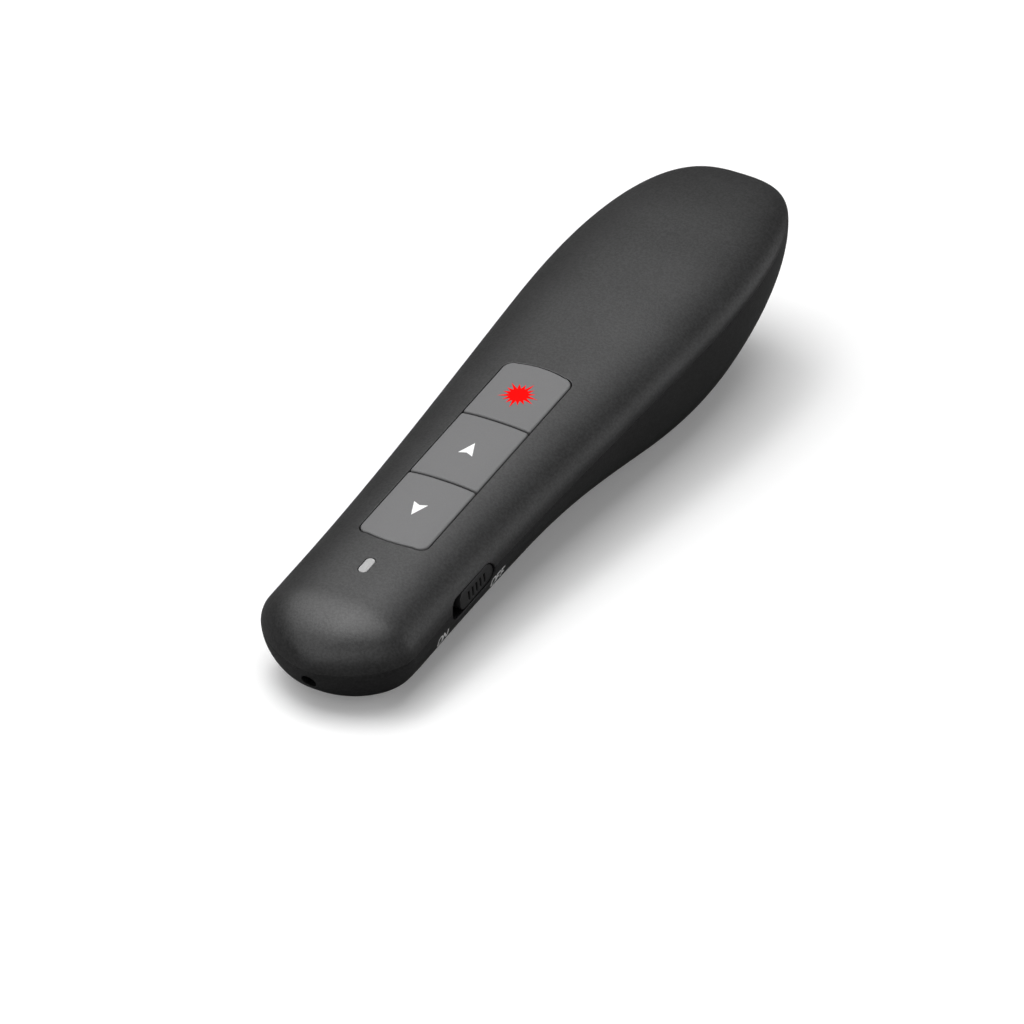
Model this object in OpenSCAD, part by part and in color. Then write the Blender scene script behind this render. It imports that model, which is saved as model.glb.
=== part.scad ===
// Wireless presentation clicker: a paddle-shaped hand remote with three keys on top,
// a slide switch on its flank, a laser in its nose and a receiver stowed in its tail.
// Everything is laid out in the body's own frame: the nose tip at the origin, the axis
// along +Y, the parting plane at z = 0. seat() then rests it on its nose and belly.

/* [Body] */
// Length of the body along its axis
body_len = 130; // [130:1:160]
// Width across the straight part of the nose
nose_w = 25.6; // [25:0.2:31]
// Width that the palm end swells to before its end rounds in
palm_w = 34.6; // [32:0.2:42]
// Height of the upper half at the nose
nose_rise = 6.7; // [6.6:0.1:9]
// Height of the upper half towards the tail
palm_rise = 5.3; // [5:0.1:8]
// Depth of the lower half at the nose
nose_drop = 9.4; // [9:0.1:12]
// Depth of the lower half that the belly swells to
palm_drop = 21.9; // [19:0.1:27]
// Thickness of both shells
wall = 1.6; // [1.3:0.1:2]
// How far from the nose the sides begin to swell
swell_start = 18; // [15:1:30]
// How far from the nose the belly begins to deepen
belly_start = 43; // [36:1:50]
// How far before the tail the belly reaches its full depth
belly_back = 27.5; // [20:0.5:32]

/* [End rounding] */
// Length of the nose rounding seen from above
nose_round = 9.7; // [8:0.1:14]
// Length of the tail rounding seen from above
tail_round = 44; // [35:1:55]
// Length of the nose rounding of the upper half
nose_round_up = 11; // [8:0.5:14]
// Length of the tail rounding of the upper half
tail_round_up = 48.5; // [38:0.5:55]
// Length of the nose rounding of the lower half
nose_round_low = 14.5; // [11:0.5:18]
// Length of the tail rounding of the lower half
tail_round_low = 51; // [45:0.5:60]
// Depth of the flats that it rests on
rest_flat = 0.25; // [0.15:0.05:0.5]

/* [Keys] */
// Width of the key opening
key_w = 11.8; // [10:0.1:13]
// Where the key column begins, measured from the nose
key_start = 24.1; // [22:0.1:26]
// Length of the down key
down_len = 15.8; // [13:0.1:17]
// Length of the up key
up_len = 15.4; // [13:0.1:17]
// Length of the laser key
laser_len = 13.9; // [12:0.1:17]
// Bulge of the two outer ends of the column
key_bulge = 1; // [0.5:0.1:1.5]
// Corner radius of the column
key_corner = 1.6; // [1:0.1:2.5]
// Gap between a key and what lies beside it
key_gap = 0.2; // [0.15:0.05:0.3]
// How far a key goes down
key_travel = 0.3; // [0.2:0.05:0.3]
// Thickness of a key's top
key_top = 1.3; // [1:0.1:1.5]

/* [Marks and lamp] */
// Diameter of the star on the laser key
star_d = 5; // [4:0.1:6]
// Points of the star
star_points = 14; // [8:1:18]
// Length of an arrowhead
arrow_len = 2.9; // [2:0.1:4]
// Width of an arrowhead
arrow_w = 2.4; // [2:0.1:4]
// Depth of the inlaid marks
mark_depth = 0.25; // [0.2:0.05:0.4]
// Length of the lamp window
lamp_len = 3.5; // [2.5:0.1:4.5]
// Width of the lamp window
lamp_w = 1.6; // [1.2:0.1:2]
// Centre of the lamp window, measured from the nose
lamp_y = 18.1; // [16:0.1:19]

/* [Power switch] */
// Nose end of the slot, measured from the nose
slot_start = 20.4; // [19:0.1:21]
// Length of the slot
slot_len = 11.8; // [10:0.1:13]
// Height of the slot
slot_h = 3.9; // [3:0.1:4]
// Length of the knob
knob_len = 9.3; // [8:0.1:9.6]
// How far the knob slides
knob_travel = 2.2; // [1.5:0.1:2.2]
// Gap between the knob and the slot
knob_gap = 0.15; // [0.1:0.05:0.2]
// Grip grooves in the knob
knob_grooves = 5; // [3:1:7]

/* [Laser] */
// Diameter of the beam opening
beam_d = 2.4; // [2:0.1:3]
// How far the beam lies below the parting plane
beam_drop = 2.2; // [1.8:0.1:2.2]
// Diameter of the module's barrel
barrel_d = 6; // [5:0.1:6]
// Length of the barrel
barrel_len = 12; // [10:0.5:13]

/* [Battery] */
// Diameter of a cell
cell_d = 10.4; // [10:0.1:10.5]
// Length of a cell with its nub
cell_len = 44.5; // [43:0.1:45]
// Gap around a cell
cell_gap = 0.15; // [0.1:0.05:0.3]
// Room for a contact spring
spring_len = 1.9; // [1.5:0.1:2.5]
// Wire diameter of a contact spring
spring_wire = 0.5; // [0.4:0.05:0.6]
// Gap around the door
door_gap = 0.25; // [0.2:0.05:0.3]
// Furthest swing of the door
door_swing = 40; // [20:5:60]

/* [Receiver] */
// Width of the receiver's cap
rx_w = 14; // [13:0.1:15]
// Thickness of the receiver's cap
rx_h = 6; // [5.5:0.1:6.5]
// Width of the metal plug
plug_w = 12; // [11.9:0.1:12.1]
// Thickness of the metal plug
plug_h = 4.5; // [4.4:0.1:4.6]
// Length of the metal plug
plug_len = 12; // [11:0.1:13]
// Gap around the receiver in its bay
rx_gap = 0.12; // [0.1:0.01:0.2]

/* [Board and screws] */
// Thickness of the circuit board
board_t = 1; // [0.8:0.1:1.2]
// Height of the board's underside above the parting plane
board_z = 1.4; // [1.3:0.1:1.5]
// Clearance of a peg in its hole
peg_gap = 0.1; // [0.05:0.05:0.15]
// Thread diameter of a case screw
screw_d = 2; // [1.8:0.1:2.2]
// Head diameter of a case screw
screw_head_d = 3.6; // [3.2:0.1:3.8]
// Wire diameter of the leads
lead_d = 0.9; // [0.8:0.1:1.1]

/* [Hidden] */
$fn = 48;
eps = 0.01;
rings = 36;         // stations along the body
arcs = 16;          // facets round half a section

// ---- shape of the body -------------------------------------------------
// Section exponents: across and up, for the upper and the lower half
up_p = 2.55; up_q = 1.9; low_p = 2.46; low_q = 2.05;
function step(t) = let(u = min(1, max(0, t))) u*u*(3 - 2*u);
// 1 along the straight part, falling to 0 at the rounded ends; t is an inset
function ends(y, t, a, an, am, b, bn, bm) =
  pow(max(0, 1 - pow(max(0, (a - y)/(a - t)), an)), 1/am) *
  pow(max(0, 1 - pow(max(0, (y - (body_len - b))/(b - t)), bn)), 1/bm);
// Half width, upper height and lower depth at y, all inset by t
function half_w(y, t = 0) =
  (nose_w/2 + (palm_w - nose_w)/2*step((y - swell_start)/(body_len - 5 - swell_start)) - t)
  * ends(y, t, nose_round, 1.9, 1.52, tail_round, 2.4, 3);
function rise(y, t = 0) = (nose_rise + (palm_rise - nose_rise)*y/body_len - t)
  * ends(y, t, nose_round_up, 2.1, 2, tail_round_up, 2.05, 1.95);
function drop(y, t = 0) =
  (nose_drop + (palm_drop - nose_drop)
   * step((y - belly_start)/(body_len - belly_back - belly_start)) - t)
  * ends(y, t, nose_round_low, 2.1, 2.1, tail_round_low, 1.95, 2.1);
function station(i, t) = t + (body_len - 2*t)*(1 - cos(180*i/rings))/2;
function section(y, t, s) = [for (k = [0:arcs]) let(a = 180*k/arcs, c = cos(a))
  s > 0 ? [half_w(y, t)*sign(c)*pow(abs(c), 2/up_p), y, rise(y, t)*pow(sin(a), 2/up_q)]
        : [half_w(y, t)*sign(c)*pow(abs(c), 2/low_p), y, -drop(y, t)*pow(sin(a), 2/low_q)]];
// Height of the upper surface over a point of the plan
function crown(x, y) = rise(y)*pow(1 - pow(min(1, abs(x)/half_w(y)), up_p), 1/up_q);
// Half width of the upper half's room at a height z
function room_x(y, z) =
  half_w(y, wall)*pow(1 - pow(min(1, z/rise(y, wall)), up_q), 1/up_p);
// Depth of the lower surface, inset by t
function keel(x, y, t = 0) =
  drop(y, t)*pow(1 - pow(min(1, abs(x)/half_w(y, t)), low_p), 1/low_q);

function half_points(t, s) = concat([[0, t, 0]],
  [for (i = [1:rings - 1]) each section(station(i, t), t, s)], [[0, body_len - t, 0]]);
ring_n = arcs + 1;
tip_b = 1 + (rings - 1)*ring_n;
function at(i, k) = 1 + (i - 1)*ring_n + k;
// Triangles and quads of the curved side of one half
function side_faces(o) = concat(
  [for (k = [0:arcs - 1]) [o, o + at(1, k), o + at(1, k + 1)]],
  [for (i = [1:rings - 2], k = [0:arcs - 1]) each
    [[o + at(i, k), o + at(i + 1, k), o + at(i + 1, k + 1)],
     [o + at(i, k), o + at(i + 1, k + 1), o + at(i, k + 1)]]],
  [for (k = [0:arcs - 1]) [o + tip_b, o + at(rings - 1, k + 1), o + at(rings - 1, k)]]);
function turned(f) = [for (q = f) [for (j = [len(q) - 1:-1:0]) q[j]]];
// The rim outline: down the right side and back up the left
function rim(o) = concat([o], [for (i = [1:rings - 1]) o + at(i, 0)], [o + tip_b],
  [for (i = [rings - 1:-1:1]) o + at(i, arcs)]);

// The same half as a solid
module half_solid(t, s) {
  f = concat(side_faces(0), [turned([rim(0)])[0]]);
  polyhedron(half_points(t, s), s > 0 ? turned(f) : f, 6);
}
// The room inside one half, carried 1 mm past the parting plane
module half_room(s) {
  n = tip_b + 1; a = rim(0); m = len(a); p = half_points(wall, s);
  f = concat(side_faces(0),
    [for (j = [0:m - 1]) [a[(j + 1) % m], a[j], n + j, n + (j + 1) % m]],
    [[for (j = [m - 1:-1:0]) n + j]]);
  polyhedron(concat(p, [for (k = a) [p[k][0], p[k][1], -s]]), s > 0 ? turned(f) : f, 6);
}
// One half hollowed out around what stands inside it
module hollow_half(s) difference() {
  half_solid(0, s);
  difference() {
    half_room(s);
    children();
  }
}

// ---- how it rests --------------------------------------------------------
ys = [for (i = [1:rings*4]) station(i/4, 0)];
nose_y = nose_round_low*0.8;
rest_slope = max([for (y = ys) if (y > body_len/2) (drop(y) - drop(nose_y))/(y - nose_y)]);
tilt = atan(rest_slope);
low_z = min([for (y = ys) y*sin(tilt) - drop(y)*cos(tilt)]);
lift = -low_z - rest_flat;
far_y = max([for (y = ys, a = [0:5:90])
  y*cos(tilt) + drop(y)*pow(sin(a), 2/low_q)*sin(tilt)]);
near_y = min([for (y = ys, a = [0:5:90])
  y*cos(tilt) - rise(y)*pow(sin(a), 2/up_q)*sin(tilt)]);
module seat() translate([0, -(far_y + near_y)/2, lift]) rotate([tilt, 0, 0]) children();
// Cuts what would lie below the plane that it rests on
module seat_cut() difference() {
  seat() children();
  translate([-palm_w, -body_len, -10]) cube([2*palm_w, 2*body_len, 10]);
}

// ---- places of the inner pieces -------------------------------------------
board_top = board_z + board_t;
key_flange_z = board_top + key_travel + 0.3;
key_flange_t = 0.6;
key_lip = min(0.7, room_x(key_start + 2, key_flange_z + key_flange_t + 0.15) - key_w/2);
sep_a = key_start + down_len;
sep_b = sep_a + up_len;
key_end = sep_b + laser_len;
down_y = (key_start + sep_a)/2;
up_y = (sep_a + sep_b)/2;
laser_y = (sep_b + key_end)/2;
board_y0 = 15.5;
board_y1 = key_end + 3;
board_hw = nose_w/2 - wall - 1.6;
notch_hw = board_hw - 0.8;
tact_s = 4.6; tact_h = 1.5; stem_d = 2; stem_out = 0.4;

cell_z = -(cell_d/2 - 0.6);
cell_x = cell_d/2 + cell_gap;
bay_wall = 1.1;
rx_back = body_len - 0.2;
plug_y1 = body_len - 7;
plug_y0 = plug_y1 - plug_len;
rx_z = -(rx_h/2 + 1.3);
bay_y0 = plug_y0 - 0.4;
tail_wall_y = bay_y0 - bay_wall - 1.1;
plate_t = 0.4;
tail_face = tail_wall_y - plate_t - 0.05;
nub_len = 1.2; nub_d = 3.8;
can_len = cell_len - nub_len;
can_y1 = tail_face - spring_len - 0.05;
can_y0 = can_y1 - can_len;
front_face = can_y0 - spring_len - 0.05;
front_wall_y = front_face - plate_t - 0.05;
door_y0 = front_wall_y + 3;
door_y1 = tail_wall_y - 0.4;
door_hw = cell_x + cell_d/2 + cell_gap + 0.05;
door_corner = 2;
lug_x = 1.6; lug_w = 1.4;
side_t = 0.9;
rib_ys = [can_y0 + 12, can_y1 - 10];

boss_d = screw_d + 2.6;
screw_pts = [for (s = [1, -1]) each
  [[s*(nose_w/2 - 4.2), 12], [s*(key_w/2 + boss_d/2 + 0.1), sep_b]]];
head_t = 1.2;
screw_end = 3.2;
// Seat of a screw's head, above its counterbore
function head_z(p) = -(keel(abs(p[0]) + screw_head_d/2, p[1]) - 1.8);
peg_pts = [for (x = [1, -1], y = [sep_a, board_y1 - 2.2]) [x*(board_hw - 1.2), y]];
peg_d = 1.5; peg_pad = 2.6;
post_pts = [[board_hw - 1.2, 42], [-(board_hw - 1.2), 42], [-(board_hw - 1.2), 24]];

slot_z = -0.1;
knob_rest = slot_start + slot_len - knob_gap - knob_len;
knob_h = slot_h - 2*knob_gap;
flange_t = 0.65;
flange_top = 2.2;
flange_x = room_x(slot_start - 3, flange_top + 0.24) - flange_t;
knob_mid = knob_rest + knob_len/2;
slider_w = 1.6; slider_h = 1.4;

barrel_y = 5;
nose_inner = nose_w/2 - wall;

// ---- small shapes ----------------------------------------------------------
// A stadium along Y, pushed out along X
module slot_shape(y0, len, h, z, x0, x1) {
  translate([x0, y0 + h/2, z - h/2]) cube([x1 - x0, len - h, h]);
  for (y = [y0 + h/2, y0 + len - h/2])
    translate([x0, y, z]) rotate([0, 90, 0]) cylinder(d = h, h = x1 - x0);
}
module round_rect(w, y0, y1, r) {
  translate([-w + r, y0]) square([2*(w - r), y1 - y0]);
  translate([-w, y0 + r]) square([2*w, y1 - y0 - 2*r]);
  for (x = [-w + r, w - r], y = [y0 + r, y1 - r]) translate([x, y]) circle(r);
}
// Plan of the key column, shrunk by g, between y0 and y1: each bulged end is a disc's arc
module key_outline(y0, y1, g) {
  w = key_w/2 - g;
  sag_r = (w*w + key_bulge*key_bulge)/(2*key_bulge);
  intersection() {
    translate([-w, y0]) square([2*w, y1 - y0]);
    union() {
      intersection() {
        round_rect(w, key_start + g + 0.45, key_end - g - 0.45, key_corner);
        translate([-w, key_start + g + 0.45]) square([2*w, key_end - key_start]);
      }
      intersection() {
        translate([0, key_start + g + sag_r]) circle(sag_r, $fn = 120);
        translate([-w + key_corner, key_start]) square([2*(w - key_corner), 4]);
      }
      intersection() {
        translate([0, key_end - g - sag_r]) circle(sag_r, $fn = 120);
        translate([-w + key_corner, key_end - 4]) square([2*(w - key_corner), 4]);
      }
    }
  }
}
// A block under the crowned upper surface, over the key column
crown_nx = 10; crown_ny = 24;
module crown_block(z0) {
  x0 = -key_w/2 - 1; x1 = key_w/2 + 1; y0 = key_start - 2; y1 = key_end + 2;
  nx = crown_nx; ny = crown_ny;
  px = [for (j = [0:ny], i = [0:nx]) let(x = x0 + (x1 - x0)*i/nx, y = y0 + (y1 - y0)*j/ny)
    [x, y, crown(x, y)]];
  pb = [[x0, y0, z0], [x1, y0, z0], [x1, y1, z0], [x0, y1, z0]];
  n = (nx + 1)*(ny + 1);
  polyhedron(concat(px, pb), concat(
    [for (j = [0:ny - 1], i = [0:nx - 1]) let(a = j*(nx + 1) + i) each
      [[a, a + nx + 1, a + nx + 2], [a, a + nx + 2, a + 1]]],
    [[n, n + 1, n + 2, n + 3]],
    [concat([for (i = [0:nx]) i], [n + 1, n])],
    [concat([for (i = [nx:-1:0]) ny*(nx + 1) + i], [n + 3, n + 2])],
    [concat([for (j = [ny:-1:0]) j*(nx + 1)], [n, n + 3])],
    [concat([for (j = [0:ny]) j*(nx + 1) + nx], [n + 2, n + 1])]), 6);
}
// A wire along a list of points, with n sides
function unit(v) = v/norm(v);
module wire(p, d, n = 8) {
  m = len(p);
  dir = [for (i = [0:m - 1]) unit(p[min(m - 1, i + 1)] - p[max(0, i - 1)])];
  pts = [for (i = [0:m - 1]) let(
      u = unit(cross(dir[i], abs(dir[i][0]) > 0.9 ? [0, 0, 1] : [1, 0, 0])),
      v = cross(dir[i], u))
    for (k = [0:n - 1]) p[i] + d/2*(cos(360*k/n)*u + sin(360*k/n)*v)];
  polyhedron(pts, concat([[for (k = [0:n - 1]) k]],
    [for (i = [0:m - 2], k = [0:n - 1]) let(a = i*n + k, b = i*n + (k + 1) % n) each
      [[a, a + n, b + n], [a, b + n, b]]],
    [[for (k = [n - 1:-1:0]) (m - 1)*n + k]]), 4);
}
// Points of a smooth run between hand-chosen ones
function mix(a, b, t) = a + (b - a)*t;
function run(p, k) = concat([for (i = [0:len(p) - 2], j = [0:k - 1])
  let(t = j/k, a = p[max(0, i - 1)], b = p[i], c = p[i + 1], d = p[min(len(p) - 1, i + 2)])
  0.5*((2*b) + (c - a)*t + (2*a - 5*b + 4*c - d)*t*t + (3*b - a - 3*c + d)*t*t*t)],
  [p[len(p) - 1]]);

// ---- shells ------------------------------------------------------------------
module top_fittings() {
  // bosses for the case screws
  for (p = screw_pts) translate([p[0], p[1], eps*2]) cylinder(d = boss_d, h = 9);
  // pegs with shoulders that hold the board down
  for (p = peg_pts) {
    translate([p[0], p[1], board_z + 0.1]) cylinder(d = peg_d, h = 9);
    translate([p[0], p[1], board_top]) cylinder(d = peg_pad, h = 9);
  }
  // ribs over the cells, clear of the leads between them
  for (y = rib_ys, s = [-1, 1]) difference() {
    translate([s*(cell_x + 1.6) - 3.6, y, eps*2]) cube([7.2, 1.2, 9]);
    translate([s*cell_x, y - 1, cell_z]) rotate([-90, 0, 0])
      cylinder(d = cell_d + 2*cell_gap, h = 4);
  }
}
// Tongues of the upper shell that reach down inside the tail of the lower one
tongue_x = rx_w/2 + bay_wall + 2.3;
tongue_t = 1.2;
module top_shell() color([0.13, 0.13, 0.135]) seat() difference() {
  union() {
    hollow_half(1) top_fittings();
    for (x = [tongue_x, -tongue_x - tongue_t]) translate([x, bay_y0 + 1, -2.5])
      cube([tongue_t, 4.5, 4.3]);
  }
  translate([0, 0, board_top]) linear_extrude(10) key_outline(key_start, key_end, 0);
  translate([0, lamp_y, board_top]) linear_extrude(10) lamp_plan(0);
  slot_shape(slot_start, slot_len, slot_h, slot_z, flange_x + flange_t + 0.3, nose_w);
  for (p = screw_pts) translate([p[0], p[1], -1])
    cylinder(d = screw_d - 0.3, h = 1.3 + screw_end);
}
module lamp_plan(g) {
  r = lamp_w/2 - g; l = lamp_len - lamp_w;
  translate([-r, -l/2]) square([2*r, l]);
  for (y = [-l/2, l/2]) translate([0, y]) circle(r);
}

module shell_fittings() {
  // bosses for the case screws
  for (p = screw_pts) translate([p[0], p[1], -30]) cylinder(d = boss_d, h = 30 - eps*2);
  // cradles of the laser barrel
  for (y = [barrel_y + 1.8, barrel_y + barrel_len - 3]) translate([-4.6, y, -30])
    cube([9.2, 1.2, 30 - beam_drop]);
  // rail under the knob's flange
  translate([flange_x - 0.2, slot_start - 3.4, slot_z - 3.9]) cube([6, slot_len + 7, 0.9]);
  // end walls of the battery bay
  translate([-20, front_wall_y - bay_wall, -30]) cube([40, bay_wall, 30 - 0.15]);
  translate([-20, tail_wall_y, -30]) cube([40, bay_wall, 30 - 0.15]);
  // side walls of the battery bay
  for (x = [-door_hw - side_t, door_hw]) translate([x, front_wall_y - 0.5, -30])
    cube([side_t, tail_wall_y - front_wall_y + 1, 30 - 0.15]);
  // box round the receiver, and the rib that it stands on
  translate([-rx_w/2 - bay_wall, bay_y0 - bay_wall, rx_z - rx_h/2 - bay_wall])
    cube([rx_w + 2*bay_wall, 40, rx_h/2 - rx_z + bay_wall - 0.15]);
  translate([-0.6, bay_y0 - bay_wall, -30]) cube([1.2, 40, 30 + rx_z]);
  // posts under the board
  for (p = post_pts) translate([p[0], p[1], -30]) cylinder(d = 2.4, h = 30 - eps*2);
}
// Room of the two cells
module cell_room() for (s = [-1, 1])
  translate([s*cell_x, front_face - 0.06, cell_z]) rotate([-90, 0, 0])
    cylinder(d = cell_d + 2*cell_gap, h = tail_face - front_face + 0.12);
module door_plan(g) round_rect(door_hw - g, door_y0 + g, door_y1 - g, door_corner);
module bottom_shell() color([0.115, 0.115, 0.12]) seat_cut() difference() {
  union() {
    hollow_half(-1) shell_fittings();
    for (p = post_pts) translate([p[0], p[1], -2]) cylinder(d = 2.4, h = 2 + board_z);
  }
  // beam opening and seat of the barrel
  translate([0, -1, -beam_drop]) rotate([-90, 0, 0]) cylinder(d = beam_d, h = 4);
  translate([0, barrel_y - 0.1, -beam_drop]) rotate([-90, 0, 0])
    cylinder(d = barrel_d + 0.1, h = barrel_len + 2);
  slot_shape(slot_start, slot_len, slot_h, slot_z, flange_x + flange_t + 0.3, nose_w);
  // battery opening and the room of the cells
  translate([0, 0, -40]) linear_extrude(40 + cell_z) door_plan(0);
  cell_room();
  // bay of the receiver: the plug's room, then the cap's
  translate([-plug_w/2 - rx_gap, bay_y0, rx_z - plug_h/2 - rx_gap])
    cube([plug_w + 2*rx_gap, plug_len + 2, plug_h + 2*rx_gap]);
  translate([-rx_w/2 - rx_gap, plug_y1 - 0.1, rx_z - rx_h/2 - rx_gap])
    cube([rx_w + 2*rx_gap, 20, rx_h + 2*rx_gap]);
  // finger scoop under the receiver
  translate([0, body_len - 1.2, rx_z - rx_h/2 - 2.6]) rotate([0, 90, 0])
    cylinder(r = 3.2, h = 8, center = true);
  // screw holes
  for (p = screw_pts) translate([p[0], p[1], -40]) {
    cylinder(d = screw_d + 0.2, h = 41);
    cylinder(d = screw_head_d + 0.3, h = 40 + head_z(p));
  }
}

// ---- battery door --------------------------------------------------------------
lug_out = 1.6;
lug_z = -keel(0, door_y0 - lug_out) + wall + 0.25;
module battery_door() color([0.115, 0.115, 0.12]) seat_cut() union() {
  difference() {
    intersection() {
      half_solid(0, -1);
      translate([0, 0, -40]) linear_extrude(39) door_plan(door_gap);
    }
    half_room(-1);
    cell_room();
    // nail recess
    translate([0, door_y1 - 4, -keel(0, door_y1 - 4) - 4.3]) rotate([0, 90, 0])
      cylinder(r = 5, h = 8, center = true);
  }
  // lugs that hook behind the front edge
  for (x = [-lug_x, lug_x]) translate([x - lug_w/2, door_y0, lug_z]) {
    translate([0, -lug_out, 0]) cube([lug_w, lug_out + 2.2, 0.7]);
    translate([0, door_gap + 0.2, -1.8]) cube([lug_w, 1.75, 2.2]);
  }
  // ribs that bear the cells up
  for (y = rib_ys) intersection() {
    half_solid(wall/2, -1);
    difference() {
      translate([-cell_x - 2.5, y, -40]) cube([2*cell_x + 5, 1.2, 40 + cell_z - 2.5]);
      for (s = [-1, 1]) translate([s*cell_x, y - 1, cell_z]) rotate([-90, 0, 0])
        cylinder(d = cell_d + 4*cell_gap, h = 4);
    }
  }
}

// ---- keys ------------------------------------------------------------------------
module key(y0, y1) difference() {
  union() {
    intersection() {
      crown_block(key_flange_z);
      translate([0, 0, key_flange_z - 1]) linear_extrude(12)
        key_outline(y0 + (y0 > key_start ? key_gap/2 : 0), y1 - (y1 < key_end ? key_gap/2 : 0),
          key_gap);
    }
    translate([-key_w/2 - key_lip, y0 + 2.4, key_flange_z])
      cube([key_w + 2*key_lip, y1 - y0 - 4.8, key_flange_t]);
  }
  difference() {
    translate([-key_w/2 + 1.3, y0 + 1.9, key_flange_z - 1])
      cube([key_w - 2.6, y1 - y0 - 3.8, key_top_z((y0 + y1)/2) - key_flange_z + 1]);
    translate([0, (y0 + y1)/2, board_top + tact_h + stem_out + 0.02])
      cylinder(d = 2.6, h = 4);
  }
}
function key_top_z(y) = rise(y) - key_top;
// Star: long and short points in turn
module star() polygon([for (i = [0:2*star_points - 1]) let(
    a = 180*i/star_points + 4,
    r = (i % 2 == 0 ? star_d/2*(0.86 + 0.14*cos(120*i)) : star_d*0.27))
  [r*cos(a), r*sin(a)]]);
module arrow() polygon([[0, arrow_len*0.62], [-arrow_w/2, -arrow_len*0.38],
  [0, -arrow_len*0.22], [arrow_w/2, -arrow_len*0.38]]);
laser_mark_y = laser_y - 0.3; up_mark_y = up_y - 0.2; down_mark_y = down_y + 0.5;
module mark_cut(y) translate([0, y, rise(y) - mark_depth]) linear_extrude(2) children();
module mark(y) translate([0, y, rise(y) - mark_depth])
  linear_extrude(mark_depth - 0.03) children();
module laser_key() color([0.4, 0.4, 0.405]) seat() difference() {
  key(sep_b, key_end);
  mark_cut(laser_mark_y) star();
}
module up_key() color([0.4, 0.4, 0.405]) seat() difference() {
  key(sep_a, sep_b);
  mark_cut(up_mark_y) arrow();
}
module down_key() color([0.4, 0.4, 0.405]) seat() difference() {
  key(key_start, sep_a);
  mark_cut(down_mark_y) rotate(180) arrow();
}
module laser_mark() color([0.95, 0.02, 0.02]) seat() mark(laser_mark_y) star();
module up_mark() color([0.95, 0.95, 0.95]) seat() mark(up_mark_y) arrow();
module down_mark() color([0.95, 0.95, 0.95]) seat() mark(down_mark_y) rotate(180) arrow();

module tact(y) seat() translate([0, y, board_top]) difference() {
  translate([-tact_s/2, -tact_s/2, 0]) cube([tact_s, tact_s, tact_h]);
  translate([0, 0, 0.6]) cylinder(d = stem_d + 0.1, h = tact_h);
}
module stem(y) seat() translate([0, y, board_top + 0.6 + key_travel + 0.05])
  cylinder(d = stem_d, h = tact_h + stem_out - 0.6 - key_travel - 0.05);
module laser_tact() color([0.2, 0.2, 0.2]) tact(laser_y);
module up_tact() color([0.2, 0.2, 0.2]) tact(up_y);
module down_tact() color([0.2, 0.2, 0.2]) tact(down_y);
module laser_stem() color([0.75, 0.7, 0.6]) stem(laser_y);
module up_stem() color([0.75, 0.7, 0.6]) stem(up_y);
module down_stem() color([0.75, 0.7, 0.6]) stem(down_y);

// ---- lamp ---------------------------------------------------------------------
module lamp_window() color([0.78, 0.78, 0.78]) seat() translate([0, lamp_y, 0]) {
  translate([0, 0, board_top + 0.9]) linear_extrude(rise(lamp_y) - board_top - 0.95)
    lamp_plan(0.05);
}
module lamp_chip() color([0.9, 0.9, 0.8]) seat()
  translate([-0.8, lamp_y - 1, board_top]) cube([1.6, 2, 0.8]);

// ---- board and its parts ----------------------------------------------------------
module circuit_board() color([0.05, 0.3, 0.15]) seat() difference() {
  translate([0, 0, board_z]) linear_extrude(board_t) difference() {
    round_rect(board_hw, board_y0, board_y1, 1.5);
    translate([notch_hw, board_y0 - 1]) square([4, slot_start + slot_len - board_y0 + 5]);
    for (s = [-1, 1]) translate([s*(key_w/2 + 4.2) - 4.4, sep_b - boss_d/2 - 0.3])
      square([8.8, boss_d + 0.6]);
  }
  for (p = peg_pts) translate([p[0], p[1], board_z - 1])
    cylinder(d = peg_d + 2*peg_gap, h = board_t + 2);
}
module under_board(x, y, w, l, h) seat() translate([x - w/2, y - l/2, board_z - h])
  cube([w, l, h]);
module main_chip() color([0.08, 0.08, 0.08]) under_board(-4, 38, 5, 5, 0.9);
module radio_chip() color([0.08, 0.08, 0.08]) under_board(2.6, 47, 4, 4, 0.8);
module crystal() color([0.75, 0.75, 0.78]) under_board(-2.6, 47, 2.5, 3.2, 0.7);
module chip_parts() color([0.6, 0.45, 0.3])
  for (p = [[1, 36], [1, 38], [1, 40], [6, 44], [6, 46], [-6, 44], [-6, 46]])
    under_board(p[0], p[1], 1.6, 0.8, 0.6);
module antenna() color([0.8, 0.6, 0.25]) seat() translate([0, 0, board_z - 0.3]) {
  translate([-5, board_y1 - 1.6, 0]) cube([10, 0.8, 0.3]);
  translate([-5, board_y1 - 5, 0]) cube([0.8, 3.6, 0.3]);
  translate([-2.6, board_y1 - 5, 0]) cube([0.8, 3.6, 0.3]);
}

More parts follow.
